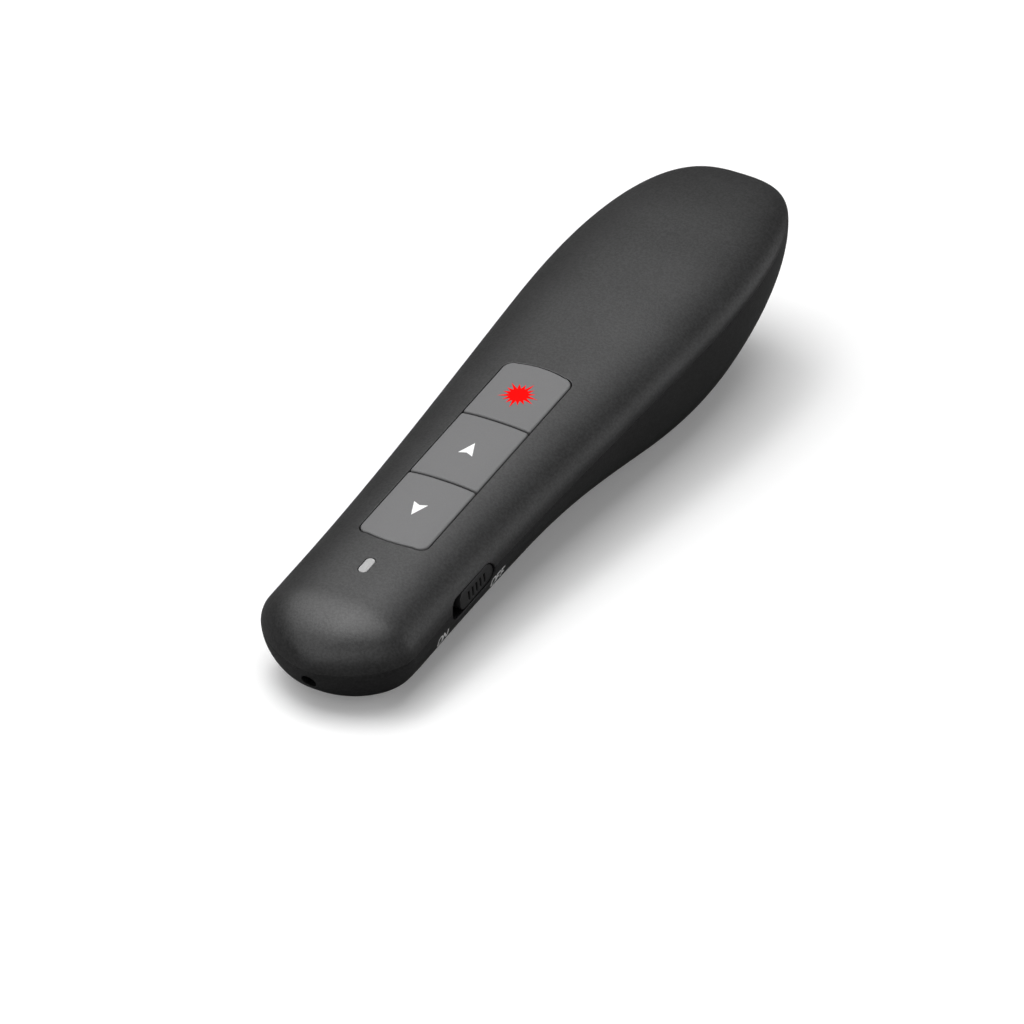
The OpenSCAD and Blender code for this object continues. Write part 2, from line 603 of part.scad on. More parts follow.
// ---- power switch ------------------------------------------------------------------
frame_x0 = notch_hw - 4.4; frame_x1 = flange_x - 0.35;
module switch_frame() color([0.7, 0.7, 0.72]) seat() difference() {
  translate([frame_x0, knob_mid - knob_travel/2 - 4.5, board_z - 3.4])
    cube([frame_x1 - frame_x0, 9, 3.4]);
  translate([frame_x0 + 1.4, knob_mid - knob_travel - slider_w/2 - 0.2,
      slot_z - slider_h/2 - 0.1])
    cube([6, knob_travel + slider_w + 0.4, slider_h + 0.2]);
}
module switch_slider() color([0.12, 0.12, 0.12]) seat()
  translate([frame_x0 + 1.6, knob_mid - slider_w/2, slot_z - slider_h/2])
    cube([flange_x + flange_t - 0.1 - frame_x0 - 1.6, slider_w, slider_h]);
knob_r = 6;
module power_knob() color([0.1, 0.1, 0.105]) seat() difference() {
  union() {
    intersection() {
      slot_shape(knob_rest, knob_len, knob_h, slot_z, flange_x + 0.1, nose_w/2 + 2);
      translate([nose_w/2 + 0.1 - knob_r, knob_rest - 1, slot_z]) rotate([-90, 0, 0])
        cylinder(r = knob_r, h = knob_len + 2, $fn = 96);
    }
    translate([flange_x, slot_start - 0.7, slot_z - 2.8])
      cube([flange_t, slot_len + knob_travel + 1.4, flange_top - slot_z + 2.8]);
  }
  for (i = [0:knob_grooves - 1])
    translate([nose_w/2 - 0.35, knob_mid + (i - (knob_grooves - 1)/2)*1.1 - 0.22,
        slot_z - knob_h/2 + 0.5])
      cube([2, 0.44, knob_h - 1]);
  translate([flange_x - 1, knob_mid - slider_w/2 - 0.05, slot_z - slider_h/2 - 0.05])
    cube([1 + flange_t + 0.2, slider_w + 0.1, slider_h + 0.1]);
}

// ---- laser ---------------------------------------------------------------------------
module along_beam(y) seat() translate([0, y, -beam_drop]) rotate([-90, 0, 0]) children();
module laser_barrel() color([0.78, 0.62, 0.3]) along_beam(barrel_y) difference() {
  cylinder(d = barrel_d, h = barrel_len);
  translate([0, 0, -1]) cylinder(d = 3, h = 3);
  translate([0, 0, 1.2]) cylinder(d = 4.4, h = barrel_len);
}
module laser_lens() color([0.8, 0.85, 0.9]) along_beam(barrel_y + 1.25)
  cylinder(d = 4.3, h = 1.4);
module laser_diode() color([0.85, 0.8, 0.6]) along_beam(barrel_y + 7) {
  cylinder(d = 3.3, h = 3);
  translate([0, 0, 2.9]) cylinder(d = 4.3, h = 1.1);
}
module laser_board() color([0.05, 0.3, 0.15]) seat()
  translate([-2.8, barrel_y + barrel_len + 0.05, -beam_drop - 2.8]) cube([5.6, 0.8, 5.6]);
module laser_leads() color([0.7, 0.1, 0.1]) seat() for (x = [-1.5, 1.5])
  wire(run([[x, barrel_y + barrel_len + 0.9, -beam_drop], [x, barrel_y + barrel_len + 2.4, -beam_drop + 0.1],
    [x*1.2, barrel_y + barrel_len + 4, -beam_drop + 1.2], [x*1.3, barrel_y + barrel_len + 4.6, board_z - 0.9],
    [x*1.3, barrel_y + barrel_len + 4.7, board_z - 0.1]], 4), lead_d);

// ---- battery -------------------------------------------------------------------------
module cell(x, nose_up) seat() translate([x, nose_up ? can_y1 : can_y0, cell_z])
  rotate([nose_up ? 90 : -90, 0, 0]) {
    cylinder(d = cell_d, h = can_len);
    translate([0, 0, can_len - eps]) cylinder(d = nub_d, h = nub_len + eps);
  }
module cell_left() color([0.55, 0.56, 0.58]) cell(-cell_x, false);
module cell_right() color([0.55, 0.56, 0.58]) cell(cell_x, true);
module dimple(x, y, s) translate([x, y, cell_z]) rotate([-90*s, 0, 0])
  cylinder(d1 = 4.4, d2 = 3, h = spring_len - nub_len);
module contact_bridge() color([0.8, 0.8, 0.78]) seat() {
  translate([-cell_x - 3.6, front_face - plate_t, cell_z - 2.6])
    cube([2*cell_x + 7.2, plate_t, 5.8]);
  dimple(cell_x, front_face - 0.01, 1);
}
module tail_plate(x) {
  translate([x - 3.8, tail_face, cell_z - 2.6]) cube([7.6, plate_t, 5.8]);
  translate([x > 0 ? x - 3.8 : x + 1.8, tail_face, cell_z + 3]) cube([2, plate_t, 2]);
}
module contact_tail_left() color([0.8, 0.8, 0.78]) seat() {
  tail_plate(-cell_x);
  dimple(-cell_x, tail_face + 0.01, -1);
}
module contact_tail_right() color([0.8, 0.8, 0.78]) seat() tail_plate(cell_x);
// A cone spring of three turns between a plate and the flat end of a cell
function coil(n) = [for (i = [0:n*10]) let(a = 36*i, f = i/(n*10), r = 3.6 - 1.6*f)
  [r*cos(a), r*sin(a), spring_wire/2 + (spring_len - spring_wire)*f]];
module spring_left() color([0.82, 0.82, 0.8]) seat()
  translate([-cell_x, front_face + 0.02, cell_z]) rotate([-90, 0, 0])
    wire(coil(3), spring_wire, 6);
module spring_right() color([0.82, 0.82, 0.8]) seat()
  translate([cell_x, tail_face - 0.02, cell_z]) rotate([90, 0, 0])
    wire(coil(3), spring_wire, 6);
module battery_leads() color([0.15, 0.15, 0.16]) seat() for (s = [-1, 1])
  wire(run([[s*1.9, tail_face - 0.5, 0.45], [s*1.4, tail_face - 3, 0.5],
    [s*0.8, tail_face - 9, 0.2], [s*0.8, mix(tail_face, board_y1, 0.5), 0.1],
    [s*0.8, board_y1 + 6, 0.3], [s*1.6, board_y1 - 5.5, 0.5],
    [s*1.6, board_y1 - 7.5, 0.6], [s*1.6, board_y1 - 8, board_z - 0.12]], 3), lead_d);

// ---- receiver -------------------------------------------------------------------------
module receiver_cap() color([0.12, 0.12, 0.125]) seat() intersection() {
  translate([-rx_w/2, plug_y1, rx_z - rx_h/2]) cube([rx_w, 20, rx_h]);
  half_solid(0.15, -1);
}
module receiver_plug() color([0.75, 0.75, 0.77]) seat() difference() {
  translate([-plug_w/2, plug_y0, rx_z - plug_h/2]) cube([plug_w, plug_len, plug_h]);
  translate([-plug_w/2 + 0.3, plug_y0 - 1, rx_z - plug_h/2 + 0.3])
    cube([plug_w - 0.6, plug_len, plug_h - 0.6]);
  for (x = [-3.5, 1.5]) translate([x, plug_y0 + 4.5, rx_z - 4]) cube([2, 2, 8]);
}
module receiver_tongue() color([0.93, 0.93, 0.9]) seat()
  translate([-plug_w/2 + 0.35, plug_y0 + 0.4, rx_z - plug_h/2 + 0.35])
    cube([plug_w - 0.7, plug_len - 1.4, 1.8]);

// ---- screws ----------------------------------------------------------------------------
module case_screws() color([0.35, 0.35, 0.37]) seat() for (p = screw_pts)
  translate([p[0], p[1], head_z(p) - head_t]) difference() {
    union() {
      cylinder(d = screw_head_d, h = head_t - 0.02);
      cylinder(d = screw_d - 0.35, h = head_t - head_z(p) + screw_end);
    }
    for (a = [0, 90]) rotate(a) translate([-1.1, -0.25, -1]) cube([2.2, 0.5, 1.6]);
  }

top_shell();
bottom_shell();
battery_door();
laser_key();
laser_mark();
up_key();
up_mark();
down_key();
down_mark();
laser_tact();
up_tact();
down_tact();
laser_stem();
up_stem();
down_stem();
lamp_window();
lamp_chip();
circuit_board();
main_chip();
radio_chip();
crystal();
chip_parts();
antenna();
switch_frame();
switch_slider();
power_knob();
laser_barrel();
laser_lens();
laser_diode();
laser_board();
laser_leads();
cell_left();
cell_right();
contact_bridge();
contact_tail_left();
contact_tail_right();
spring_left();
spring_right();
battery_leads();
receiver_cap();
receiver_plug();
receiver_tongue();
case_screws();
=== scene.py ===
import math
import bmesh
import bpy
import numpy as np
from mathutils import Matrix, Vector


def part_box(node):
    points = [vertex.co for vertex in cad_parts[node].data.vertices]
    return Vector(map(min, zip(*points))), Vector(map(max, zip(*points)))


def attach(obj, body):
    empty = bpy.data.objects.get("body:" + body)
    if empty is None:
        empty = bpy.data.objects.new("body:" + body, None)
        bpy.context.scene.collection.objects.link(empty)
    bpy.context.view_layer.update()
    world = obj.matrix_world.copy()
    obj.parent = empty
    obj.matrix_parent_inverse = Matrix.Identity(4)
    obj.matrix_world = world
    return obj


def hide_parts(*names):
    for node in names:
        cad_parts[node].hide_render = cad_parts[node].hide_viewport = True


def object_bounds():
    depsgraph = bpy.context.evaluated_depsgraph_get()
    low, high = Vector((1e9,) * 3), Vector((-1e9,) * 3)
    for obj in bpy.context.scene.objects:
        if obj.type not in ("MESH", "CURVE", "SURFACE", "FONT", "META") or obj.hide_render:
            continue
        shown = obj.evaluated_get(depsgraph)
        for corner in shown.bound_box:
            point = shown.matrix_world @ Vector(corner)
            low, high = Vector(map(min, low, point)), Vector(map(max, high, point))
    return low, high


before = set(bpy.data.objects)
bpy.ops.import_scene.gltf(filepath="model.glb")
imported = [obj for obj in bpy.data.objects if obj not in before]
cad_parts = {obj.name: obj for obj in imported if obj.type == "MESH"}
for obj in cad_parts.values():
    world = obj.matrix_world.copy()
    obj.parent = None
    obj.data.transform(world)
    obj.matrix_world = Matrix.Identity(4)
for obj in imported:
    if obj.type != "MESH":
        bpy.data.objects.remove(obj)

cad_box = [list(corner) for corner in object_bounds()]

# ---- Upper shell --------------------------------------------------------------------
# The black cover that lies in the hand, from the nose to the tail. It is moulded in one
# piece with a fine matt grain, crowned along its whole length, and its rim meets the lower
# shell's with a hair of a gap. All sizes here are millimetres in the body's own frame:
# nose tip at the origin, axis along +Y, parting plane at z = 0.
body_len, nose_w, palm_w = 130.0, 25.6, 34.6
nose_rise, palm_rise, nose_drop, palm_drop = 6.7, 5.3, 9.4, 21.9
swell_start, swell_end, belly_start, belly_end = 18.0, 125.0, 43.0, 102.5
upper_powers, lower_powers = (2.55, 1.9), (2.46, 2.05)   # across and up, for the sections
# how the plan, the crown and the belly round off: length and two powers, at the nose and at the tail
plan_ends, crown_ends = (9.7, 1.9, 1.52, 44, 2.4, 3), (11, 2.1, 2, 48.5, 2.05, 1.95)
belly_ends = (14.5, 2.1, 2.1, 51, 1.95, 2.1)
rim_roll, rim_gap, rim_land = 0.05, 0.008, 1.2
stations = 240                        # sections along each half
edge_roll, small_roll = 0.18, 0.12    # the rounded edges of the large and of the small openings
lip_reach, cut_reach = 0.34, 0.3      # how far beyond that edge its strip starts and the skin ends
lip_clear, lid_clear = 0.004, 0.005   # how far the new walls stand off the CAD's behind them
tilt, seat_y, seat_z = math.radians(7.80303), -64.4333, 7.34216
key_w, key_start, key_end = 11.8, 24.1, 69.2
key_corner, key_tight, key_bulge, key_shoulder = 1.6, 0.3, 1.0, 0.45
lamp_y, lamp_len, lamp_w = 18.1, 3.5, 1.6
slot_start, slot_len, slot_h, slot_mid_z = 20.4, 11.8, 3.6, -0.25


def smooth(t):
    """0 below t = 0, 1 above t = 1, and 3t^2 - 2t^3 between them."""
    t = np.clip(t, 0.0, 1.0)
    return t * t * (3.0 - 2.0 * t)


def rounded_ends(y, nose, nose_n, nose_m, tail, tail_n, tail_m):
    """1 along the straight part; at each end (1 - u^n)^(1/m), where u runs from 0 to 1 outwards."""
    u = np.clip((nose - y) / nose, 0.0, 1.0)
    v = np.clip((y - (body_len - tail)) / tail, 0.0, 1.0)
    return (1.0 - u ** nose_n) ** (1.0 / nose_m) * (1.0 - v ** tail_n) ** (1.0 / tail_m)


def half_width(y):
    """Half width: a straight nose that swells smoothly to the palm, times its rounded ends."""
    swell = smooth((y - swell_start) / (swell_end - swell_start))
    return (nose_w + (palm_w - nose_w) * swell) / 2 * rounded_ends(y, *plan_ends)


def half_height(y, side):
    """Height above (side 1) or depth below (side -1) the parting plane."""
    if side > 0:
        along = nose_rise + (palm_rise - nose_rise) * y / body_len
        return along * rounded_ends(y, *crown_ends)
    belly = smooth((y - belly_start) / (belly_end - belly_start))
    return (nose_drop + (palm_drop - nose_drop) * belly) * rounded_ends(y, *belly_ends)


def level(points, side):
    """f = |x/W(y)|^p + |z/H(y)|^q, which is 1 on the surface, and its gradient."""
    x, y, z = points[..., 0], np.clip(points[..., 1], 0.02, body_len - 0.02), points[..., 2]
    p, q = upper_powers if side > 0 else lower_powers
    w, h, step = half_width(y), half_height(y, side), 0.01
    dw = (half_width(y + step) - half_width(y - step)) / (2 * step)
    dh = (half_height(y + step, side) - half_height(y - step, side)) / (2 * step)
    u, v = np.abs(x) / w, np.abs(z) / h
    gradient = np.stack([p * u ** (p - 1) / w * np.sign(x),
                         -(p * u ** p * dw / w + q * v ** q * dh / h),
                         q * v ** (q - 1) / h * side], -1)
    return u ** p + v ** q, gradient


def unit(v):
    """Vectors scaled to length 1."""
    return v / np.maximum(np.linalg.norm(v, axis=-1, keepdims=True), 1e-12)


def surface_normal(points, side):
    """Unit outward normal: the gradient of the level function, scaled to length 1. Within 0.06 mm of
    the body's two ends, where the gradient runs out, it turns to the body's axis."""
    from_middle = points[..., 1:2] - body_len / 2
    near_end = smooth((np.abs(from_middle) - body_len / 2 + 0.06) / 0.04)
    along = np.array([0, 1, 0]) * np.sign(from_middle)
    return unit(unit(level(points, side)[1]) * (1 - near_end) + along * near_end)


def from_plan(side):
    """The surface over a point (x, y) of the plan: z = H (1 - |x/W|^p)^(1/q)."""
    def lift(flat):
        p, q = upper_powers if side > 0 else lower_powers
        inside = np.clip(1.0 - (np.abs(flat[:, 0]) / half_width(flat[:, 1])) ** p, 0.0, 1.0)
        height = side * half_height(flat[:, 1], side) * inside ** (1 / q)
        return np.stack([flat[:, 0], flat[:, 1], height], -1)
    return lift


def from_flank(flat):
    """The right flank beside a point (y, z): x = W (1 - |z/H|^q)^(1/p), for the half that z is in."""
    y, z = flat[:, 0], flat[:, 1]
    x = 0 * y
    for side, (p, q) in ((1, upper_powers), (-1, lower_powers)):
        inside = np.clip(1.0 - (np.abs(z) / half_height(y, side)) ** q, 0.0, 1.0)
        x = np.where((z >= 0) == (side > 0), half_width(y) * inside ** (1 / p), x)
    return np.stack([x, y, z], -1)


def from_end(near, far):
    """The lower half's surface over a point (x, z) seen from an end: the stretch of y from near,
    which is outside, to far, which is inside, is halved again and again."""
    def lift(flat):
        low, high = 0 * flat[:, 0] + near, 0 * flat[:, 0] + far
        for _ in range(40):
            mid = (low + high) / 2
            outside = level(np.stack([flat[:, 0], mid, flat[:, 1]], -1), -1)[0] > 1
            low, high = np.where(outside, mid, low), np.where(outside, high, mid)
        return np.stack([flat[:, 0], high, flat[:, 1]], -1)
    return lift


def turned(v):
    """Directions of the body's frame in the row's frame: a turn about X by the tilt."""
    c, s = math.cos(tilt), math.sin(tilt)
    return np.stack([v[..., 0], v[..., 1] * c - v[..., 2] * s, v[..., 1] * s + v[..., 2] * c], -1)


def to_row(points):
    """Body frame in mm to row frame in metres: the turn, then the shift onto the table."""
    return (turned(points) + np.array([0, seat_y, seat_z])) / 1000.0


def to_body(points):
    """Row frame in metres to body frame in mm: the shift and the turn undone."""
    v = points * 1000.0 - np.array([0, seat_y, seat_z])
    c, s = math.cos(tilt), math.sin(tilt)
    return np.stack([v[..., 0], v[..., 1] * c + v[..., 2] * s, -v[..., 1] * s + v[..., 2] * c], -1)


def grid_faces(rows, cols, closed=False):
    """Quads of a rows by cols grid; closed joins its last column to its first."""
    i, k = np.meshgrid(np.arange(rows - 1), np.arange(cols if closed else cols - 1), indexing="ij")
    n = (k + 1) % cols
    return np.stack([i * cols + k, i * cols + n, (i + 1) * cols + n, (i + 1) * cols + k], -1).reshape(-1, 4)


def face_outwards(points, faces, normals):
    """The grid's faces, turned round if most of them look against the normals."""
    a, b, c = points[faces[:, 0]], points[faces[:, 1]], points[faces[:, 2]]
    across = np.cross(b - a, c - a) * normals[faces[:, 1]]
    return faces[:, ::-1] if across.sum() < 0 else faces


def in_scene(name, data):
    """A new object with this data, linked into the scene."""
    thing = bpy.data.objects.new(name, data)
    bpy.context.scene.collection.objects.link(thing)
    return thing


def make_piece(name, parts, body):
    """One mesh from parts of (points, faces, normals). A part without normals is shaded by its own
    edges. Points are kept inside the CAD model's box, which cuts the two feet flat on the table."""
    verts, faces, normals = [], [], []
    for points, own_faces, directions in parts:
        if directions is None:
            directions = np.zeros_like(points)
        else:
            own_faces = face_outwards(points, own_faces, directions)
        placed, facing = to_row(points), turned(directions)
        facing[placed[:, 2] < 0] = [0, 0, -1]
        placed = np.clip(placed, cad_box[0], cad_box[1])
        faces += (own_faces + sum(len(v) for v in verts)).tolist()
        verts.append(placed)
        normals.append(facing)
    mesh = bpy.data.meshes.new(name)
    mesh.from_pydata(np.concatenate(verts).tolist(), [], faces)
    mesh.update()
    mesh.shade_smooth()
    mesh.set_sharp_from_angle(angle=math.radians(35))
    mesh.normals_split_custom_set_from_vertices(np.concatenate(normals).tolist())
    piece = in_scene(name, mesh)
    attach(piece, body)
    return piece


def half_stations(rows):
    """Stations along the body that crowd towards both of its ends."""
    return body_len * (1 - np.cos(np.pi * np.linspace(0, 1, rows + 1)[1:-1])) / 2


def closed_half(side, rows=stations, cols=84):
    """Closed half of the body: sections x = W cos(a)^(2/p), z = H sin(a)^(2/q), and a flat rim."""
    near = np.radians([0.0, 0.35, 0.8, 1.3, 1.9, 2.7, 3.8])
    turn = np.concatenate([near, np.linspace(near[-1], np.pi - near[-1], cols)[1:-1], np.pi - near[::-1]])
    p, q = upper_powers if side > 0 else lower_powers
    y = half_stations(rows)[:, None] + 0 * turn
    across = np.sign(np.cos(turn)) * np.abs(np.cos(turn)) ** (2 / p)
    grid = np.stack([half_width(y) * across, y, side * half_height(y, side) * np.sin(turn) ** (2 / q)], -1)
    r, c = grid.shape[:2]
    points = np.vstack([grid.reshape(-1, 3), [[0, 0, 0], [0, body_len, 0]]])
    nose, tail, last = r * c, r * c + 1, (r - 1) * c
    faces = grid_faces(r, c).tolist()
    faces += [[nose, k + 1, k] for k in range(c - 1)]
    faces += [[tail, last + k, last + k + 1] for k in range(c - 1)]
    rim = [nose] + list(range(0, r * c, c)) + [tail] + list(range(c - 1, r * c, c))[::-1]
    return points, faces + [rim]


def prism(loop, low, high, axis):
    """Closed prism on an outline, from low to high along the axis number."""
    rings = [np.insert(loop, axis, height, axis=1) for height in (low, high)]
    n = len(loop)
    caps = [list(range(n))[::-1], list(range(n, 2 * n))]
    return np.vstack(rings), grid_faces(2, n, closed=True).tolist() + caps


def rolled_rim(part, side):
    """The part with its rim rolled inwards on a quarter circle of radius rim_roll, and lifted off
    the parting plane by rim_gap, which fades out over a few tenths of a millimetre."""
    points, faces, normals = part
    height = np.abs(points[:, 2:])
    inside = np.clip(1.0 - height / rim_roll, 0.0, 1.0)
    sink = rim_roll * (1 - np.sqrt(1 - inside ** 2))
    bent = normals * (1 - inside) + np.array([0, 0, -side]) * inside
    points = points - normals * sink + np.array([0, 0, side]) * rim_gap * np.exp(-height / 0.3)
    return points, faces, unit(bent)


def solid_object(points, faces, number):
    """A closed shape as an object whose faces point outwards; number tells each face's material."""
    mesh = bpy.data.meshes.new("solid")
    mesh.from_pydata(points.tolist(), [], faces)
    mesh.polygons.foreach_set("material_index", number)
    shape = bmesh.new()
    shape.from_mesh(mesh)
    bmesh.ops.recalc_face_normals(shape, faces=shape.faces)
    shape.to_mesh(mesh)
    shape.free()
    return in_scene("solid", mesh)


def values_of(items, field, width, kind=float):
    """One field of all a mesh's items of a kind, as an array with width values in each row."""
    values = np.zeros(len(items) * width, kind)
    items.foreach_get(field, values)
    return values.reshape(-1, width) if width > 1 else values


def opened_skin(side, cutters):
    """The outer surface of one half with openings: the closed half minus the cutters one by one.
    Only the half's outer faces are kept: they carry material number 0, all others number 1."""
    points, faces = closed_half(side)
    things = [solid_object(points, faces, [0] * (len(faces) - 1) + [1])]
    things += [solid_object(points, faces, [1] * len(faces)) for points, faces in cutters]
    marks = [bpy.data.materials.new("outer"), bpy.data.materials.new("cut")]
    for thing in things:
        thing.data.materials.append(marks[0])
        thing.data.materials.append(marks[1])
        if thing is not things[0]:
            cut = things[0].modifiers.new("opening", "BOOLEAN")
            cut.operation, cut.solver, cut.object, cut.material_mode = "DIFFERENCE", "EXACT", thing, "INDEX"
    result = bpy.data.meshes.new_from_object(things[0].evaluated_get(bpy.context.evaluated_depsgraph_get()))
    result.calc_loop_triangles()
    co = values_of(result.vertices, "co", 3)
    corners = values_of(result.loop_triangles, "vertices", 3, np.int32)
    of_face = values_of(result.loop_triangles, "polygon_index", 1, np.int32)
    number = values_of(result.polygons, "material_index", 1, np.int32)
    for thing in things:
        bpy.data.objects.remove(thing)
    for mark in marks:
        bpy.data.materials.remove(mark)
    return rolled_rim((co, corners[number[of_face] == 0], surface_normal(co, side)), side)


def land(side):
    """The narrow flat of the rim, from its rolled edge inwards, left out along the switch's slot."""
    y = np.concatenate([[0.0], half_stations(stations), [body_len]])
    x = half_width(y)
    rim = np.vstack([np.stack([x, y, 0 * y], -1), np.stack([-x, y, 0 * y], -1)[-2:0:-1]])
    out = surface_normal(rim + np.array([0, 0, side * 1e-6]), side)
    out = unit(out * np.array([1, 1, 0]))
    up = np.array([0, 0, side * rim_gap])
    points = np.vstack([rim - out * rim_roll + up, rim - out * rim_land + up])
    faces = grid_faces(2, len(rim), closed=True)
    middle = points[faces].mean(1)
    from_slot = np.abs(middle[:, 1] - slot_start - slot_len / 2) - slot_len / 2
    beside = (middle[:, 0] > 0) & (from_slot < 0.2)
    return points, faces[~beside], np.zeros_like(points) + np.array([0, 0, -side])


def none_of(points):
    """No point is picked."""
    return np.zeros(len(points), bool)


def inner_walls(node, side, at_skin=none_of, left_out=none_of, skin=0.13):
    """All that the CAD node has inside its outer surface, which is what lies within skin mm of it: a
    merged copy without its outer and rim faces, and without those whose middles left_out picks. The
    edges of its openings are sunk 0.3 mm, apart from those that at_skin picks, which come up to it."""
    shape = bmesh.new()
    shape.from_mesh(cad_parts[node].data)
    bmesh.ops.remove_doubles(shape, verts=shape.verts, dist=2e-6)
    copy = bpy.data.meshes.new(node + "_inside")
    shape.to_mesh(copy)
    shape.free()
    co, tris = values_of(copy.vertices, "co", 3), values_of(copy.polygons, "vertices", 3, np.int32)
    points = to_body(co)
    f, slope = level(points, side)
    below = (1 - f) / np.maximum(np.linalg.norm(slope, axis=1), 1e-9)
    on_skin = below < skin
    a, b, c = points[tris[:, 0]], points[tris[:, 1]], points[tris[:, 2]]
    along = (unit(np.cross(b - a, c - a)) * surface_normal(a, side)).sum(1)
    outer = on_skin[tris].all(1) & (along > 0.5)
    on_table = (co[tris][:, :, 2] < 2e-6).all(1)
    rim = (np.abs(points[tris][:, :, 2]) < 2e-3).all(1) | left_out(points[tris].mean(1))
    sunk = np.where(on_skin, np.where(at_skin(points), 0.0, 0.3) - below, 0.0)[:, None]
    return points - surface_normal(points, side) * sunk, tris[~(outer | on_table | rim)], None


def outward(loop, closed=True):
    """Unit normals of an outline that runs anticlockwise: its direction turned a quarter right."""
    run = np.roll(loop, -1, 0) - np.roll(loop, 1, 0) if closed else np.gradient(loop, axis=0)
    return unit(np.stack([run[:, 1], -run[:, 0]], -1))


def cutter(loop, low, high, axis, roll=edge_roll):
    """What cuts an opening's room in the skin: a prism on its outline, grown by the roll and by
    cut_reach, from low to high along the axis."""
    return prism(grown(loop, roll + cut_reach), low, high, axis)


def draped(flats, lift, out, side, axis, sign, sink, lean, closed=True):
    """Rings on the skin over flat outlines: each is sunk along the axis by its own depth, and its
    normals lean by its own angle from the skin's towards out. sign says which way the axis leaves
    the part."""
    base, wall = [lift(flat) for flat in flats], np.insert(out, axis, 0.0, axis=1)
    off = np.insert(np.zeros(2), axis, sign)
    points = np.concatenate([b - off * s for b, s in zip(base, sink)])
    normals = np.concatenate([surface_normal(b, side) * math.cos(a) + wall * math.sin(a)
                              for b, a in zip(base, lean)])
    return points, grid_faces(len(flats), len(out), closed), normals


def lip(loop, lift, side, axis, sign, roll=edge_roll, depth=0.5, closed=True):
    """The edge round an opening: it starts just under the skin, lip_reach outside the roll, turns
    down a quarter circle of radius roll and goes straight in along the axis."""
    out = outward(loop, closed)
    fan = np.radians(np.linspace(0, 90, 7))
    strip = [roll + lip_reach, roll + 0.27, roll + 0.1]
    reach = np.concatenate([strip, roll * (1 - np.sin(fan)), [-lip_clear]])
    sink = np.concatenate([[0.012, 0, 0], roll * (1 - np.cos(fan)), [depth]])
    lean = np.concatenate([[0, 0, 0], fan, [np.pi / 2]])
    return draped([loop + out * r for r in reach], lift, -out, side, axis, sign, sink, lean, closed)


def even_loop(points, n):
    """A closed outline passed again at n places equally far apart along it."""
    ring = np.vstack([points, points[:1]])
    along = np.concatenate([[0], np.cumsum(np.linalg.norm(np.diff(ring, axis=0), axis=1))])
    at = np.linspace(0, along[-1], n, endpoint=False)
    return np.stack([np.interp(at, along, ring[:, 0]), np.interp(at, along, ring[:, 1])], -1)


def arc(cx, cy, r, start, end, n=12):
    """Points of a circle's arc, from one angle in degrees to another."""
    a = np.radians(np.linspace(start, end, n))
    return np.stack([cx + r * np.cos(a), cy + r * np.sin(a)], -1)


def grown(loop, by):
    """The outline moved outwards by a distance."""
    return loop + outward(loop) * by


def key_loop(low, high, gap, bulged, n):
    """Outline of the key column or of one key: straight sides, and ends that are either bulged on
    a large arc, which stops a shoulder short of the sides, or straight with tight corners."""
    w, parts = key_w / 2 - gap, []
    big = (w * w + key_bulge ** 2) / (2 * key_bulge)
    for end, turn in ((0, -90), (1, 90)):
        r, shoulder = (key_corner, key_shoulder) if bulged[end] else (key_tight, 0.0)
        edge, way = (low, 1) if end == 0 else (high, -1)
        x = np.linspace(-(w - r), w - r, 31) * way
        bow = np.minimum(big - np.sqrt(big ** 2 - x ** 2), shoulder)
        base = edge + way * shoulder
        parts += [arc(-way * (w - r), base + way * r, r, turn - 90, turn),
                  np.stack([x, edge + way * bow], -1),
                  arc(way * (w - r), base + way * r, r, turn, turn + 90)]
    return even_loop(np.vstack(parts), n)


def pill(cx, cy, length, width, n=120, along=1):
    """A stadium outline with its length along its first (0) or second (1) axis."""
    r, half = width / 2, (length - width) / 2
    ends = np.vstack([arc(half, 0, r, -90, 90, 24), arc(-half, 0, r, 90, 270, 24)])
    if along == 1:
        ends = np.stack([-ends[:, 1], ends[:, 0]], -1)
    return even_loop(ends + np.array([cx, cy]), n)


def slot_arch(side):
    """The half of the slot's outline that one shell has, as an open line that runs anticlockwise
    from the parting plane round both of the slot's ends, with close steps at the plane."""
    r, dip = slot_h / 2, math.degrees(math.asin(-slot_mid_z / (slot_h / 2)))
    y0, y1 = slot_start + r, slot_start + slot_len - r
    start, top, stop = (dip, 90, 180 - dip) if side > 0 else (180 - dip, 270, 360 + dip)
    first, last = (y1, y0) if side > 0 else (y0, y1)
    straight = np.stack([np.linspace(first, last, 20)[1:-1], np.full(18, slot_mid_z + side * r)], -1)
    return np.vstack([arc(first, slot_mid_z, r, start, start + 6, 7)[:-1],
                      arc(first, slot_mid_z, r, start + 6, top, 18), straight,
                      arc(last, slot_mid_z, r, top, stop - 6, 18),
                      arc(last, slot_mid_z, r, stop - 6, stop, 7)[1:]])


# where an opening or a lid lies: how its outline gets onto the skin, the half that the skin is of
# (1 upper, -1 lower), and the number and the sign of the axis that leaves the part there
on_crown, on_upper_flank = (from_plan(1), 1, 2, 1), (from_flank, 1, 0, 1)
through_crown, through_flank = (2.0, 12.0), (9.0, 16.0)   # from where to where the cutters reach
key_opening = key_loop(key_start, key_end, 0.0, (True, True), 360)
lamp_opening = pill(0, lamp_y, lamp_len, lamp_w)
slot_loop = pill(slot_start + slot_len / 2, slot_mid_z, slot_len, slot_h, along=0)
upper_skin = opened_skin(1, [cutter(key_opening, *through_crown, 2),
                             cutter(lamp_opening, *through_crown, 2, small_roll),
                             cutter(slot_loop, *through_flank, 0)])
upper_shell = make_piece("upper_shell_skin", [
    upper_skin, land(1), inner_walls("top_shell", 1),
    lip(key_opening, *on_crown), lip(lamp_opening, *on_crown, small_roll),
    rolled_rim(lip(slot_arch(1), *on_upper_flank, closed=False), 1)], "housing")
